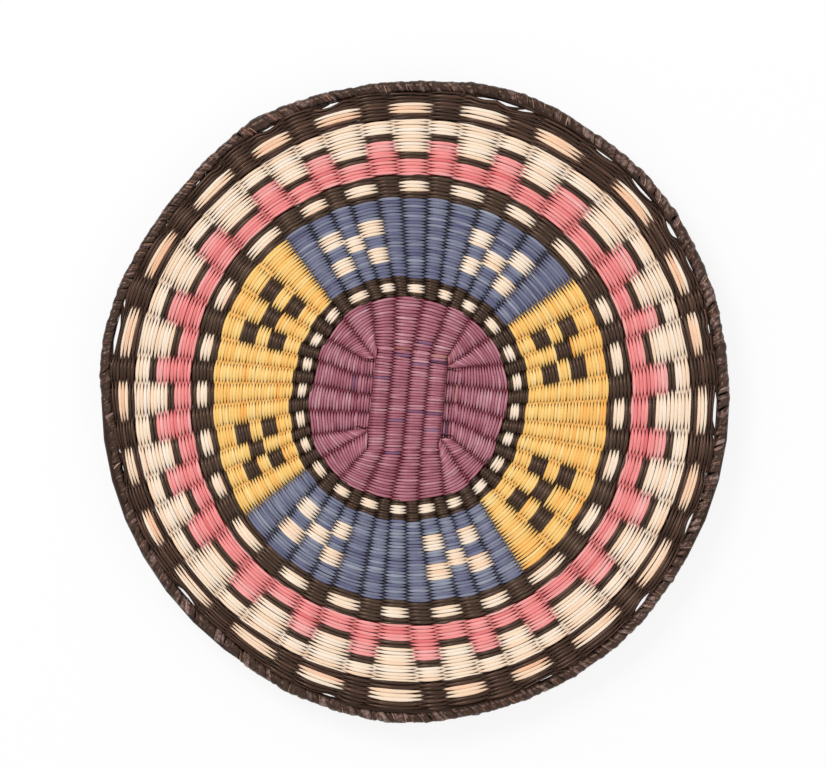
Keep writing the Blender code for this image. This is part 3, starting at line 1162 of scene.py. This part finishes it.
# How many floats are pink over an even and over an odd rib, and how many black ones follow
PINK_FLOATS = (10, 5)
STEP_FLOATS = 2


def dashes(dark: Weft, light: Weft) -> Pattern:
    """A black ring with a short pale dash over every other rib.

    Args:
        dark: The ring's weft.
        light: The dashes' weft.

    Returns:
        The pattern.
    """

    def pattern(odd: bool, order: int, rib: int) -> Weft:
        """The weft of one float."""
        return light if odd and order in DASH_FLOATS else dark

    return pattern


def crosses(odd: bool, order: int, rib: int) -> Weft:
    """The blue and yellow sectors, with two small stepped crosses in each.

    Args:
        odd: Whether the float lies over an odd rib.
        order: The float's number over its rib, counted outwards.
        rib: The rib.

    Returns:
        The float's weft.
    """
    sector, place = divmod(rib + SECTOR_SHIFT, SIZES.quarter_ribs)
    ground, block = (Weft.YELLOW, Weft.BLACK) if sector % 2 else (Weft.BLUE, Weft.CREAM)
    crossed = any(place in ribs and order in floats for ribs, floats in CROSS_BLOCKS)
    return block if crossed else ground


def steps(odd: bool, order: int, rib: int) -> Weft:
    """The pink band with its black steps, and the cream band outside them.

    Args:
        odd: Whether the float lies over an odd rib.
        order: The float's number over its rib, counted outwards.
        rib: The rib; not used.

    Returns:
        The float's weft.
    """
    pink = PINK_FLOATS[odd]
    if order < pink:
        return Weft.PINK
    return Weft.BLACK if order < pink + STEP_FLOATS else Weft.CREAM


# Short stems of another shade in the middle: each one's place across and up, in millimetres
STEMS = (
    (Weft.VIOLET, -3.0, 24.4), (Weft.VIOLET, 9.6, 20.5), (Weft.VIOLET, 2.4, 19.8),
    (Weft.VIOLET, 13.5, 20.0), (Weft.VIOLET, -18.5, 11.5), (Weft.VIOLET, -8.5, -13.0),
    (Weft.VIOLET, 1.2, -7.5), (Weft.VIOLET, 12.5, -9.2), (Weft.VIOLET, 29.4, 7.8),
    (Weft.VIOLET, -34.9, 7.6), (Weft.VIOLET, 17.7, -20.4), (Weft.VIOLET, 7.0, 30.5),
    (Weft.VIOLET, 9.5, -17.5), (Weft.VIOLET, -14.0, -31.0), (Weft.TAN, 14.6, 24.8),
    (Weft.TAN, 18.5, 22.5), (Weft.TAN, -5.3, 28.9), (Weft.TAN, -5.3, 27.6),
    (Weft.TAN, 22.7, -0.8), (Weft.TAN, 17.6, -15.8),
)


class MiddleSkeins:
    """The strands of a piece in the middle: purple ones, and short violet or tan stems on them."""

    # The height in the weave that the middle of a stem's float has, and where the stem ends
    FLOAT_HEIGHT = 0.85
    END_HEIGHT = 0.3
    # How far from its listed place a stem may lie, along its strand and across it
    ALONG = 3.0 * MM
    ACROSS = 0.7 * MM
    # How much wider and thicker than its strand a stem is
    WIDER = 1.04
    THICKER = 1.1

    def __init__(self, draw: Draw) -> None:
        """Starts with no strands, and with the random draws of their owner."""
        self.draw = draw
        self.skeins = {weft: Skein() for weft in (Weft.PURPLE, Weft.VIOLET, Weft.TAN)}

    def add(self, strand: Strand) -> None:
        """Adds a purple strand, and a stem over each of its floats where one belongs.

        Args:
            strand: The strand.
        """
        self.skeins[Weft.PURPLE].add(strand)
        floats = strand.wave > self.FLOAT_HEIGHT
        for weft, *place in STEMS:
            offset = strand.points[:, :2] - np.array(place) * MM
            away = np.hypot(*offset.T)
            middle = int(np.where(floats, away, 1).argmin())
            sideways = abs(offset[middle] @ strand.across[middle, :2])
            if away[middle] > self.ALONG or sideways > self.ACROSS:
                continue
            low, high = middle, middle
            while low > 1 and strand.wave[low] > self.END_HEIGHT:
                low -= 1
            while high < len(strand.wave) - 2 and strand.wave[high] > self.END_HEIGHT:
                high += 1
            part = slice(low, high + 1)
            self.skeins[weft].add(Strand(
                strand.points[part], strand.across[part], strand.width[part] * self.WIDER,
                strand.thickness[part] * self.THICKER, float(self.draw.normal(0.5, 0.2)),
                strand.wave[part], strand.tip,
            ))

    def dress(self, name: str, node: str) -> None:
        """Makes and dresses the pieces.

        Args:
            name: What the pieces' names start with.
            node: The CAD node that they stand for.
        """
        for weft, skein in self.skeins.items():
            if skein.count:
                weft.dress(skein.make(f"{name}_{weft.name.lower()}"), node)


@dataclass
class PurpleWeave(Woven):
    """The round weave over pairs of ribs, between the panels and the first black ring.

    Attributes:
        rows: How many rows it has.
        first: Where the first row starts, as a share of the way from the panels to the ring.
        flatness: How flat the strands lie on a pair of ribs.
        step: A short way outwards, as such a share, over which the rows' direction is taken.
    """

    # The strands tucked in at a panel's side: how far inside its corner and its side the short
    # ones start and lie, their heights in millimetres, and how much further in the long one lies
    CORNER_INSET = 3.3 * MM
    SIDE_INSET = 0.7 * MM
    SHORT_LEVELS = (0.3, -0.6, -1.5)
    LONG_INSET = 1.6 * MM
    # How thick the short ones and the long one are, in millimetres, and how wide all of them are
    SHORT_THICKNESS, LONG_THICKNESS = 1.1, 2.2
    TUCKED_WIDTH = 1.2 * MM
    TUCKED_POINTS = 12

    rows: int = 33
    first: float = -0.05
    flatness: float = 0.9
    step: float = 0.02

    def weave(self) -> None:
        """Makes the strands, most of them purple and a few of them violet or tan."""
        skeins = MiddleSkeins(self.draw)
        ribs = stops(-0.5, SIZES.ribs - 0.5, True, 1.5, 2.0)
        free = {"usual": 0.0, "least": -math.inf, "most": math.inf}
        for number in range(self.rows):
            share = self.first + (1 - self.first) * (number + 0.5) / self.rows
            middle = self.ribbing.purple(share, ribs)
            beyond = self.ribbing.purple(share + self.step, ribs)
            side = 1 if number % 2 else -1
            wave = side * np.cos(np.pi * (ribs + self.uneven(ribs, 0.05, **free) - 0.5) / 2)
            wave = np.tanh(self.flatness * wave) / math.tanh(self.flatness)
            points = middle + UP * (wave * FINE_WEAVE.reach)[:, None]
            room = np.linalg.norm(beyond - middle, axis=1) / self.step
            width = FINE_WEAVE.width(wave, 1.0) * (room * (1 - self.first) / self.rows)
            tone = self.draw.normal(0.5, 0.13) + self.uneven(ribs, 0.14, **free)
            skeins.add(Strand(points, unit(beyond - middle), width, FINE_WEAVE.depth(wave), tone,
                              wave, Weft.PURPLE.value.tip, closed=True))
        self.tuck(skeins.skeins[Weft.PURPLE])
        skeins.dress("purple_weave", "purple_weave")

    def tuck(self, purple: Skein) -> None:
        """Adds the strands that run along the panels' sides where their corners meet.

        Args:
            purple: Where the strands go.
        """
        half = SIZES.panel_half_width
        side = half - self.SIDE_INSET
        corner = half - self.CORNER_INSET, SIZES.panel_reach, side
        for quarter in range(4):
            lies_under = quarter % 2 == 1
            for start, end, beside, turned, level, tall in (
                *((*corner, lies_under, level, self.SHORT_THICKNESS)
                  for level in self.SHORT_LEVELS),
                (-half, half, side - self.LONG_INSET, False, 0.0, self.LONG_THICKNESS),
            ):
                along = np.linspace(start, end, self.TUCKED_POINTS)
                across = np.full(len(along), beside)
                height = np.full(len(along), level * MM)
                flat = (along, across) if turned else (across, along)
                points = self.ribbing.turned(np.stack([*flat, height], 1), quarter)
                shape = np.sqrt(np.sin(np.linspace(0.3, np.pi - 0.3, len(along))))
                sideways = np.cross(unit(points[-1:] - points[:1]), UP) + 0 * points
                purple.add(Strand(points, sideways, self.TUCKED_WIDTH * shape, tall * MM * shape,
                                  float(self.draw.normal(0.35, 0.1))))


@dataclass
class Panel(Woven):
    """One of the two crossed panels: fine rows over four pairs of rods.

    Attributes:
        name: What its pieces' names start with.
        quarter: 0 for the front panel and 1 for the back one.
        rows: How many rows it has.
        turning: How far from its end a row starts to turn down.
        droop: How far the first and last rows sink, as a share of the panel's level.
    """

    # How far inside the panel's side the rows end, and where they have more points before that
    INSET = 0.5 * MM
    CORNER_POINTS = np.array([0.1, 0.4, 0.9, 1.6]) * MM
    # How far the crossings of a row lie from the usual place, and how far and how fast it wanders
    CROSSING_OFFSET = 0.25 * MM
    JITTER, JITTER_LENGTH = 0.1 * MM, 4 * MM
    # From which row, as a share of the way to the end, the rows droop, and over what way
    DROOP_START, DROOP_WAY = 0.8, 0.2
    TONE_SHARE = 0.13
    TONE_WAVE, TONE_LENGTH = 0.16, 5 * MM

    name: str
    quarter: int
    rows: int = 70
    turning: float = 3.0 * MM
    droop: float = 0.15

    def weave(self) -> None:
        """Makes the rows, each turned down over the outermost rods."""
        skeins = MiddleSkeins(self.draw)
        half = SIZES.panel_half_width - self.INSET
        corner = half - self.CORNER_POINTS
        places = stops(-2.0, 2.0, False, 0.0) * SIZES.pair_pitch
        places = np.unique(np.clip(np.concatenate([places, corner, -corner]), -half, half))
        side = 1 if self.quarter == 0 else -1
        for number in range(self.rows):
            across = places + self.CROSSING_OFFSET * self.draw.normal()
            wave = np.sin(np.pi * across / SIZES.pair_pitch) * (1 if number % 2 else -1)
            wave = np.tanh(wave) / math.tanh(1)
            ends = np.clip((np.abs(across) - (half - self.turning)) / self.turning, 0, 1)
            turned = wave * np.sqrt(1 - ends ** 2) - side * ends ** 2
            share = (number + 0.5) / self.rows
            along = PANEL_SKEW.row(share, across, self.quarter)
            jitter = self.JITTER * np.sin(across / self.JITTER_LENGTH + self.angle())
            jitter = jitter * self.draw.normal()
            height = side * SIZES.panel_level + turned * FINE_WEAVE.reach
            near = smooth((np.abs(2 * share - 1) - self.DROOP_START) / self.DROOP_WAY)
            height -= side * self.droop * SIZES.panel_level * near
            local = np.stack([across, along + jitter, height], axis=1)
            points = self.ribbing.turned(local, self.quarter)
            outwards = self.ribbing.turned(local + np.array([0, 1.0, 0]), self.quarter) - points
            width = FINE_WEAVE.width(wave, 2 * SIZES.panel_reach / self.rows)
            depth = FINE_WEAVE.depth(wave) * (1 - 0.5 * ends ** 2)
            tone = self.draw.normal(0.5, self.TONE_SHARE)
            tone = tone + self.TONE_WAVE * np.sin(across / self.TONE_LENGTH + self.angle())
            skeins.add(Strand(points, outwards, width, depth, tone, wave,
                              Weft.PURPLE.value.tip))
        skeins.dress(self.name, f"{self.name}_weave")


@dataclass
class Rods(Woven):
    """The ribs of the plaque, with their ends bent round into the rim.

    Attributes:
        bend_start: The radius at which a rod starts to bend.
        bend_ribs: How many ribs further it ends.
        tip: Its thickness at its tip.
    """

    # Where a long rod's points lie along its panel, in millimetres
    PANEL_POINTS = (22, 11, 0, -11, -22)
    # The darkest and the palest shade of a rod, and how it darkens from the cream band outwards
    TONES = (0.4, 0.8)
    DARKENING, DARKENING_WAY = 0.95, 8 * MM
    # How many points a rod has inside the purple weave's edge, in the rings and in its bend, how
    # the bend sets in, and how far inside the rim's middle line the rod ends
    EDGE_POINTS, RING_POINTS, BEND_POINTS = 7, 24, 18
    BEND_POWER = 1.25
    END_INSET = 1.0 * MM

    bend_start: float = 168.5 * MM
    bend_ribs: float = 0.9
    tip: float = 1.2 * MM

    def outer_part(self, rib: float) -> tuple[Array, Array]:
        """A rib from the purple weave's edge to the tip inside the rim.

        Args:
            rib: The rib's place.

        Returns:
            The points, and the rod's thickness at each.
        """
        place = np.array([rib], float)
        shares = np.linspace(0.0, 1, self.EDGE_POINTS)[:-1]
        inner = [self.ribbing.purple(share, place)[0] for share in shares]
        radii = np.linspace(SIZES.purple, self.bend_start, self.RING_POINTS)
        ring = [self.ribbing.ring(radius, place)[0] for radius in radii]
        bend = np.linspace(0, 1, self.BEND_POINTS)[1:]
        radius = self.bend_start + (SIZES.rim - self.END_INSET - self.bend_start) * bend
        turned = rib + self.bend_ribs * bend ** self.BEND_POWER
        end = [self.ribbing.ring(r, np.array([u]))[0] for r, u in zip(radius, turned)]
        points = np.array(inner + ring + end)
        thick = np.full(len(points), SIZES.rod)
        thick[-len(end):] = SIZES.rod + (self.tip - SIZES.rod) * bend
        return points, thick

    def make_rod(self, name: str, points: Array, thick: Array) -> None:
        """Makes one rod, darker where it nears the rim.

        Args:
            name: The CAD node that it stands for.
            points: Its middle line.
            thick: Its thickness at each point.
        """
        skein = Skein(sides=10)
        across = np.gradient(points, axis=0)[:, [1, 0, 2]] * np.array([1, -1, 0])
        radius = np.linalg.norm(points[:, :2], axis=1)
        dark = self.DARKENING * smooth((radius - SIZES.cream) / self.DARKENING_WAY)
        tone = self.draw.uniform(*self.TONES) * (1 - dark)
        skein.add(Strand(points, across, thick, thick, tone))
        Weft.ROD.dress(skein.make(f"{name}_peeled"), name)

    def place(self) -> None:
        """Makes the long rods of both panels and the short ones at the corners."""
        arm, quarter_ribs = SIZES.arm_ribs, SIZES.quarter_ribs
        for quarter, label in enumerate(("front", "back")):
            level = SIZES.panel_level * (1 if quarter == 0 else -1)
            for place in range(arm):
                near, near_thick = self.outer_part(quarter_ribs * quarter + place)
                far, far_thick = self.outer_part(quarter_ribs * (quarter + 2) + arm - 1 - place)
                across = self.ribbing.arm_place(place)
                local = np.array([[across, y * MM, level] for y in self.PANEL_POINTS])
                middle = self.ribbing.turned(local, quarter)
                points = np.concatenate([near[::-1], middle, far])
                even = np.full(len(middle), SIZES.rod)
                thick = np.concatenate([near_thick[::-1], even, far_thick])
                self.make_rod(f"{label}_rod_{place + 1}", points, thick)
        corner_ribs = [rib for rib in range(SIZES.ribs) if rib % quarter_ribs >= arm]
        for number, rib in enumerate(corner_ribs):
            points, thick = self.outer_part(rib)
            self.make_rod(f"corner_rod_{number + 1}", points[2:], thick[2:])


# Usual widths of the rim's strips, in millimetres, by degrees clockwise from the top
STRIP_WIDTHS = (
    (0, 2.8), (30, 4.6), (60, 4.2), (90, 3.4), (140, 3.2), (180, 3.0), (210, 3.8), (235, 2.6),
    (260, 2.4), (290, 2.0), (320, 2.4), (335, 4.6), (350, 2.8), (360, 2.8),
)
# How strongly the strips bulge, as a share, by degrees clockwise from the top
STRIP_BULGES = (
    (0, 0.5), (20, 0.7), (50, 1.0), (120, 0.8), (150, 0.7), (200, 0.9), (225, 0.4), (300, 0.4),
    (322, 0.5), (334, 1.0), (345, 0.5), (360, 0.5),
)
# Where the strips' pale edges mostly show, in degrees clockwise from the top
PALE_EDGES = ((16, 112), (160, 204), (312, 344))
# The corners of a strip's section: each one's place across it, its height and its painted light, a
# highlight along the middle and shade at the edges, as shares; the last two lie under it
STRIP_SIDES = (
    (-0.5, 0.0, 0.0), (-0.36, 0.35, 0.05), (-0.16, 0.75, 0.7), (0.05, 1.0, 1.0),
    (0.26, 0.95, 0.85), (0.42, 0.7, 0.4), (0.5, 0.3, 0.0), (0.25, -0.5, 0.0), (-0.25, -0.5, 0.0),
)
STRIP_SKIN = 0.16 * MM
# The strips wound over a splice: each one's place in degrees clockwise from the top, its width and
# how much higher than usual it lies in millimetres, and whether it is a red one
SPLICE = ((330.2, 7.6, 0.1, False), (327.5, 2.5, 0.25, True), (332.7, 2.5, 0.3, True))


@dataclass
class Rim(Woven):
    """The bound edge: dark leaf strips wound round the bundle of rod ends.

    Attributes:
        overlap: How much wider a strip is than its part of the rim, as a share.
        slant: How far the turns lean, as a slope.
        steps: Points in each turn.
        samples: Points of the rim's middle line.
        cover: How much thinner than the rim the bundle is, on each side.
        bundle_waves: How many waves the bundle's thickness has all round, of several kinds.
        lump: How much the bundle swells at the splice, and over how many degrees.
    """

    # Where a turn starts and ends round the bundle, in degrees from outwards over the top
    TURN = (-160, 205)
    # How much the turns differ in their lean, as a share and within limits, and in their bow
    LEAN_SHARE, LEAN_LIMITS = 0.3, (0.2, 1.7)
    BOW_SHARE = 0.15
    # How a strip's width changes on its way round, as a share, and how far its lie differs, in
    # millimetres
    WIDTH_WAVE = 0.07
    LIE = 0.07
    # How high a strip's middle bulges: at least, and as a share of its width, times a random one
    BULGE, BULGE_SHARE, BULGE_RANGE = 0.3 * MM, 0.1, (0.5, 1.3)
    # How much of its shade a strip keeps where it lies flat, and how the painted highlight across
    # its section changes it
    FLAT_TONE = 0.6
    LIGHT_SHARE, LIGHT_MIDDLE = 0.4, 0.7
    FIBRE_REACH = 3 * MM
    # A strip's usual shade and how much it differs, and how it changes on its way round
    TONE, TONE_WAVE = (0.42, 0.22), 0.15
    # How likely a turn has a pale edge, where these mostly show and elsewhere
    PALE, SELDOM_PALE = 0.6, 0.18
    # A pale line's place across the strip and up its bulge, as shares
    LINE_PLACE, LINE_HEIGHT = 0.44, 0.75
    # At which of the turn's points it may start, how many it may have, its width in millimetres
    # and its shade, usual and differing
    LINE_STARTS, LINE_POINTS, LINE_WIDTHS, LINE_TONE = (8, 15), (5, 11), (0.3, 0.65), (0.45, 0.3)
    LINE_THICKNESS = 0.36 * MM

    overlap: float = 0.28
    slant: float = -0.5
    steps: int = 24
    samples: int = 2880
    cover: float = 0.75 * MM
    bundle_waves: tuple[int, ...] = (23, 41, 73, 113, 157, 191)
    lump: tuple[float, float] = (1.1 * MM, 2.2)

    def __post_init__(self) -> None:
        """Lays out the rim's middle line and the bundle's thickness along it."""
        super().__post_init__()
        turn = 2 * np.pi * np.arange(self.samples + 1) / self.samples
        self.points = self.ribbing.rim_point(turn)
        ahead = unit(np.roll(self.points[:-1], -1, axis=0) - np.roll(self.points[:-1], 1, axis=0))
        self.ahead = np.concatenate([ahead, ahead[:1]])
        self.outwards = unit(np.cross(UP, self.ahead))
        self.reach = reached(self.points)
        self.bundle = np.full(self.samples + 1, SIZES.rim_thickness / 2 - self.cover)
        for waves in self.bundle_waves:
            size = 0.07 * MM * (1 + abs(self.draw.normal()))
            self.bundle += size * np.sin(waves * turn + self.angle())
        swelling, degrees = self.lump
        away = (np.degrees(turn) - SPLICE[0][0]) / degrees
        self.bundle += swelling * np.exp(-away ** 2)

    def at(self, values: Array, places: Array) -> Array:
        """Values given along the line, at other places on it.

        Args:
            values: A number or a vector for each point of the line.
            places: Distances along the line.

        Returns:
            The values there.
        """
        held = places % self.reach[-1]
        if values.ndim == 1:
            return np.interp(held, self.reach, values)
        return np.stack([np.interp(held, self.reach, column) for column in values.T], axis=-1)

    def over(self, places: Array, phase: Array, height: Array) -> Array:
        """Points on the bundle.

        Args:
            places: Distances along the rim, one row for each angle round the bundle.
            phase: Angles round the bundle, from outwards over the top.
            height: How far above the bundle the points lie.

        Returns:
            The points.
        """
        radial = self.at(self.outwards, places) * np.cos(phase)[:, None, None]
        radial = radial + np.sin(phase)[:, None, None] * UP
        reach = self.at(self.bundle, places) + height
        return self.at(self.points, places) + radial * reach[..., None]

    def turn(self, strips: Skein, edges: Skein, place: float, width: float,
             lump: float = 0.0) -> None:
        """Adds one turn of strip round the bundle, and perhaps a pale line along its edge.

        Args:
            strips: Where the strip goes.
            edges: Where the pale line goes.
            place: Where the strip's middle lies along the rim.
            width: How much of the rim it covers.
            lump: How much higher than usual it lies.
        """
        draw, degrees = self.draw, 360 * place / self.reach[-1]
        phase = np.radians(np.linspace(*self.TURN, self.steps))
        slant = self.slant * float(np.clip(draw.normal(1, self.LEAN_SHARE), *self.LEAN_LIMITS))
        bow = draw.normal(0, self.BOW_SHARE) * width
        middle = place + slant * SIZES.rim_thickness / 2 * np.cos(phase) + bow * np.sin(phase)
        wave = 1 + self.WIDTH_WAVE * np.sin(2 * phase + self.angle())
        spread = width * (1 + self.overlap) * wave
        lift = draw.normal(0, self.LIE) * MM
        strength = listed(STRIP_BULGES, degrees)
        bulge = self.BULGE + self.BULGE_SHARE * width * draw.uniform(*self.BULGE_RANGE)
        bulge = bulge * strength + lump
        # The third column is painted light: a highlight along the strip's middle, and painted shade
        # at its edges
        across, share, light = np.array(STRIP_SIDES).T
        height = np.where(share < 0, share * STRIP_SKIN, STRIP_SKIN + share * bulge) + lift
        offset = spread[:, None] * across
        strips.add_skin(self.over(middle[:, None] + offset, phase, height), closed=False)
        tone = draw.normal(*self.TONE) + self.TONE_WAVE * np.sin(phase * 2 + self.angle())
        tone *= self.FLAT_TONE + (1 - self.FLAT_TONE) * strength
        along = self.FIBRE_REACH * phase[:, None]
        fibre = np.stack(np.broadcast_arrays(along, offset, place), -1)
        # Painted highlight along the strip's middle and painted shade towards its edges, which also
        # mark where the gaps' painted shade lies
        tone = tone[:, None] + self.LIGHT_SHARE * (light - self.LIGHT_MIDDLE)
        strips.note(fibre, tone, light + 0 * offset)
        pale = any(low < degrees < high for low, high in PALE_EDGES)
        if draw.uniform() < (self.PALE if pale else self.SELDOM_PALE):
            height = self.LINE_HEIGHT * bulge + STRIP_SKIN + lift
            self.pale_line(edges, middle + spread * self.LINE_PLACE, phase, height)

    def pale_line(self, edges: Skein, way: Array, phase: Array, height: float) -> None:
        """Adds a pale line along a part of a turn's edge.

        Args:
            edges: Where the line goes.
            way: Where the turn's edge lies along the rim, at each of its points.
            phase: The angles round the bundle there.
            height: How far above the bundle the line lies.
        """
        first = int(self.draw.integers(*self.LINE_STARTS))
        part = slice(first, first + int(self.draw.integers(*self.LINE_POINTS)))
        line = self.over(way[part, None], phase[part], height)[:, 0]
        shape = np.sin(np.linspace(0.25, np.pi - 0.25, len(line)))
        edges.add(Strand(line, self.at(self.ahead, way[part]),
                         self.draw.uniform(*self.LINE_WIDTHS) * MM * shape,
                         self.LINE_THICKNESS * shape, float(self.draw.normal(*self.LINE_TONE))))

    def bind(self) -> None:
        """Winds the strips round the rim, and then those over the splice."""
        strips, red, edges = Skein(len(STRIP_SIDES)), Skein(len(STRIP_SIDES)), Skein(sides=6)
        length, place = self.reach[-1], 0.0
        while place < length:
            width = listed(STRIP_WIDTHS, 360 * place / length) * MM
            width *= float(np.clip(self.draw.normal(1, 0.3), 0.5, 1.7))
            width = min(width, length - place + 0.4 * MM)
            self.turn(strips, edges, place + width / 2, width)
            place += width
        for at, wide, lump, is_red in SPLICE:
            held = red if is_red else strips
            self.turn(held, edges, at / 360 * length, wide * MM, lump * MM)
        for weft, skein, name in ((Weft.RIM, strips, "rim_strips"),
                                  (Weft.RIM_RED, red, "rim_red_strips"),
                                  (Weft.RIM_EDGE, edges, "rim_strip_edges")):
            weft.dress(skein.make(name), "rim_binding")


@dataclass
class SlackStrands(Woven):
    """Loose dark strands between the last row and the rim.

    Attributes:
        places: Where the strands lie, as shares of the way from the last row to the rim.
        waves: How many waves they wander in, all round.
        wander: How far they wander, in millimetres.
        lift: How far above the middle of the weave they lie.
        reach: How far they rise and fall at the ribs.
        rim_side: How far inside the rim's middle line their room ends.
    """

    places: tuple[float, ...] = (0.3, 0.8)
    waves: tuple[int, ...] = (2, 5, 9, 14, 21)
    wander: float = 0.08
    lift: float = 0.3 * MM
    reach: float = 1.5
    rim_side: float = 2.9 * MM

    def lay(self) -> None:
        """Makes the strands."""
        skein = Skein()
        ribs = stops(0.0, SIZES.ribs, True)
        edge = self.ribbing.ring(SIZES.outer_black, ribs)
        outwards = unit(edge * np.array([1, 1, 0]))
        turn = np.arctan2(edge[:, 0], edge[:, 1])
        opening = self.ribbing.opening(turn)
        rim = np.linalg.norm(self.ribbing.rim_point(turn)[:, :2], axis=1) - self.rim_side
        room = rim - np.linalg.norm(edge[:, :2], axis=1) - opening
        for number, share in enumerate(self.places):
            way = room * share + number * opening
            for waves in self.waves:
                size = self.draw.normal(0, self.wander) * MM
                way += size * np.sin(2 * np.pi * waves * ribs / SIZES.ribs + self.angle())
            wave = (1 if number % 2 else -1) * np.cos(np.pi * ribs)
            rise = wave * self.reach * MM + self.lift
            points = edge + outwards * way[:, None] + UP * rise[:, None]
            width = 0.5 * np.maximum(room, 0) + self.draw.uniform(0.5, 0.7) * MM
            tone = self.draw.normal(0.5, 0.2) + 0.2 * np.sin(ribs + self.angle())
            skein.add(Strand(points, outwards, width, 0.75 * width, tone, closed=True))
        Weft.BROWN_BLACK.dress(skein.make("edge_strands"), "outer_black_ring")


@dataclass
class Studio:
    """The camera, the floor and the light.

    Attributes:
        pixel: What a pixel of the picture covers at the rim.
        width: The picture's width in pixels.
        height: Its height in pixels.
        middle_across: Where the plaque's middle lies in it, from the left.
        middle_down: The same from the top.
        distance: How high the camera stands.
        floor_reach: From the floor's middle to its sides.
        glow: How much of the floor's white is its own, where it is seen.
        surround: How strong the even light is.
        lamps: Each lamp's name, place, size and power.
    """

    pixel: float = 0.56 * MM
    width: int = 826
    height: int = 768
    middle_across: float = 415.4
    middle_down: float = 398.6
    distance: float = 2.0
    floor_reach: float = 6.0
    glow: float = 0.85
    surround: float = 0.62
    lamps: tuple[tuple, ...] = (
        ("key", (-0.9, 0.9, 1.6), 0.8, 18.2),
        ("fill", (1.2, -0.4, 1.6), 1.2, 3.8),
    )

    def camera(self) -> None:
        """Sets the camera straight over the plaque, framed as in the photograph."""
        data = bpy.data.cameras.new("camera")
        camera = place_object("camera", data)
        across = (self.width / 2 - self.middle_across) * self.pixel
        along = (self.middle_down - self.height / 2) * self.pixel
        camera.location = (across, along, self.distance)
        data.sensor_width = 36.0
        subject = SIZES.middle_height + SIZES.rim_rise
        data.lens = data.sensor_width * (self.distance - subject) / (self.width * self.pixel)
        data.clip_end = 20
        bpy.context.scene.camera = camera

    def floor(self) -> None:
        """Lays a pale floor that keeps the plaque's shadow."""
        mesh = bpy.data.meshes.new("floor")
        reach = self.floor_reach
        corners = [(-reach, -reach, 0), (reach, -reach, 0), (reach, reach, 0), (-reach, reach, 0)]
        mesh.from_pydata(corners, [], [(0, 1, 2, 3)])
        floor = place_object("floor", mesh)
        pale = bpy.data.materials.new("pale_floor")
        nodes = Nodes(pale)
        surface = nodes.tree.nodes["Principled BSDF"]
        surface.inputs["Base Color"].default_value = (0.97, 0.97, 0.97, 1)
        surface.inputs["Roughness"].default_value = 0.9
        surface.inputs["Specular IOR Level"].default_value = 0.0
        glow = nodes.add("Emission", strength=1.0)
        share = nodes.span(nodes.seen(), 0.0, 1.0, 0.0, self.glow)
        mixed = nodes.add("MixShader", fac=share)
        nodes.feed(mixed.inputs[1], surface.outputs["BSDF"])
        nodes.feed(mixed.inputs[2], glow.outputs["Emission"])
        output = nodes.tree.nodes["Material Output"]
        nodes.feed(output.inputs["Surface"], mixed.outputs["Shader"])
        mesh.materials.append(pale)

    def light(self) -> None:
        """Sets soft light from the upper left and an even surround."""
        world = bpy.data.worlds.new("surround")
        bpy.context.scene.world = world
        nodes = Nodes(world)
        back = nodes.tree.nodes["Background"].inputs
        back["Color"].default_value = (1, 1, 1, 1)
        nodes.feed(back["Strength"], nodes.span(nodes.seen(), 0.0, 1.0, self.surround, 1.0))
        for name, place, size, power in self.lamps:
            lamp = bpy.data.lights.new(name, "AREA")
            lamp.size = size
            lamp.energy = power
            made = place_object(name, lamp)
            made.location = place
            across, along, up = place
            tilt = math.atan2(math.hypot(across, along), up)
            made.rotation_euler = (tilt, 0, math.atan2(across, -along))


def main() -> None:
    """Builds the plaque from the middle out, in the studio."""
    logging.basicConfig(level=logging.INFO, format="%(name)s: %(message)s")
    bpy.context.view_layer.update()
    bpy.context.scene.view_settings.view_transform = "Standard"
    studio = Studio()
    studio.camera()
    studio.floor()
    studio.light()
    ribbing = Ribbing()
    Rods(ribbing, 3).place()
    Panel(ribbing, 31, "front_panel", 0).weave()
    Panel(ribbing, 32, "back_panel", 1).weave()
    PurpleWeave(ribbing, 5).weave()
    inner, middle, outer = SIZES.inner_black, SIZES.middle_black, SIZES.outer_black
    black_dashes = dashes(Weft.BLACK, Weft.CREAM)
    brown_dashes = dashes(Weft.BROWN_BLACK, Weft.PEACH)
    for ring in (
        Ring(ribbing, 1, "inner_ring", SIZES.purple, inner, 14, black_dashes,
             {Weft.BLACK: ("inner_black_ring",)}),
        Ring(ribbing, 2, "sector", inner, SIZES.sectors, 50, crosses,
             {Weft.BLUE: ("blue_top_sector", "blue_bottom_sector"),
              Weft.YELLOW: ("yellow_right_sector", "yellow_left_sector")}),
        Ring(ribbing, 3, "middle_ring", SIZES.sectors, middle, 13, black_dashes,
             {Weft.BLACK: ("middle_black_ring",)}),
        Ring(ribbing, 4, "step_band", middle, SIZES.cream, 33, steps,
             {Weft.PINK: ("pink_band",), Weft.CREAM: ("cream_band",)}),
        Ring(ribbing, 6, "outer_ring", SIZES.cream, outer, 14, brown_dashes,
             {Weft.BROWN_BLACK: ("outer_black_ring",)}, 0.12 * MM, 0.03, 0.1),
    ):
        ring.weave()
    SlackStrands(ribbing, 41).lay()
    Rim(ribbing, 21).bind()
    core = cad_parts["rim_core"].data.materials
    core.clear()
    core.append(Weft.ROD.value.material())


if __name__ == "__main__":
    main()
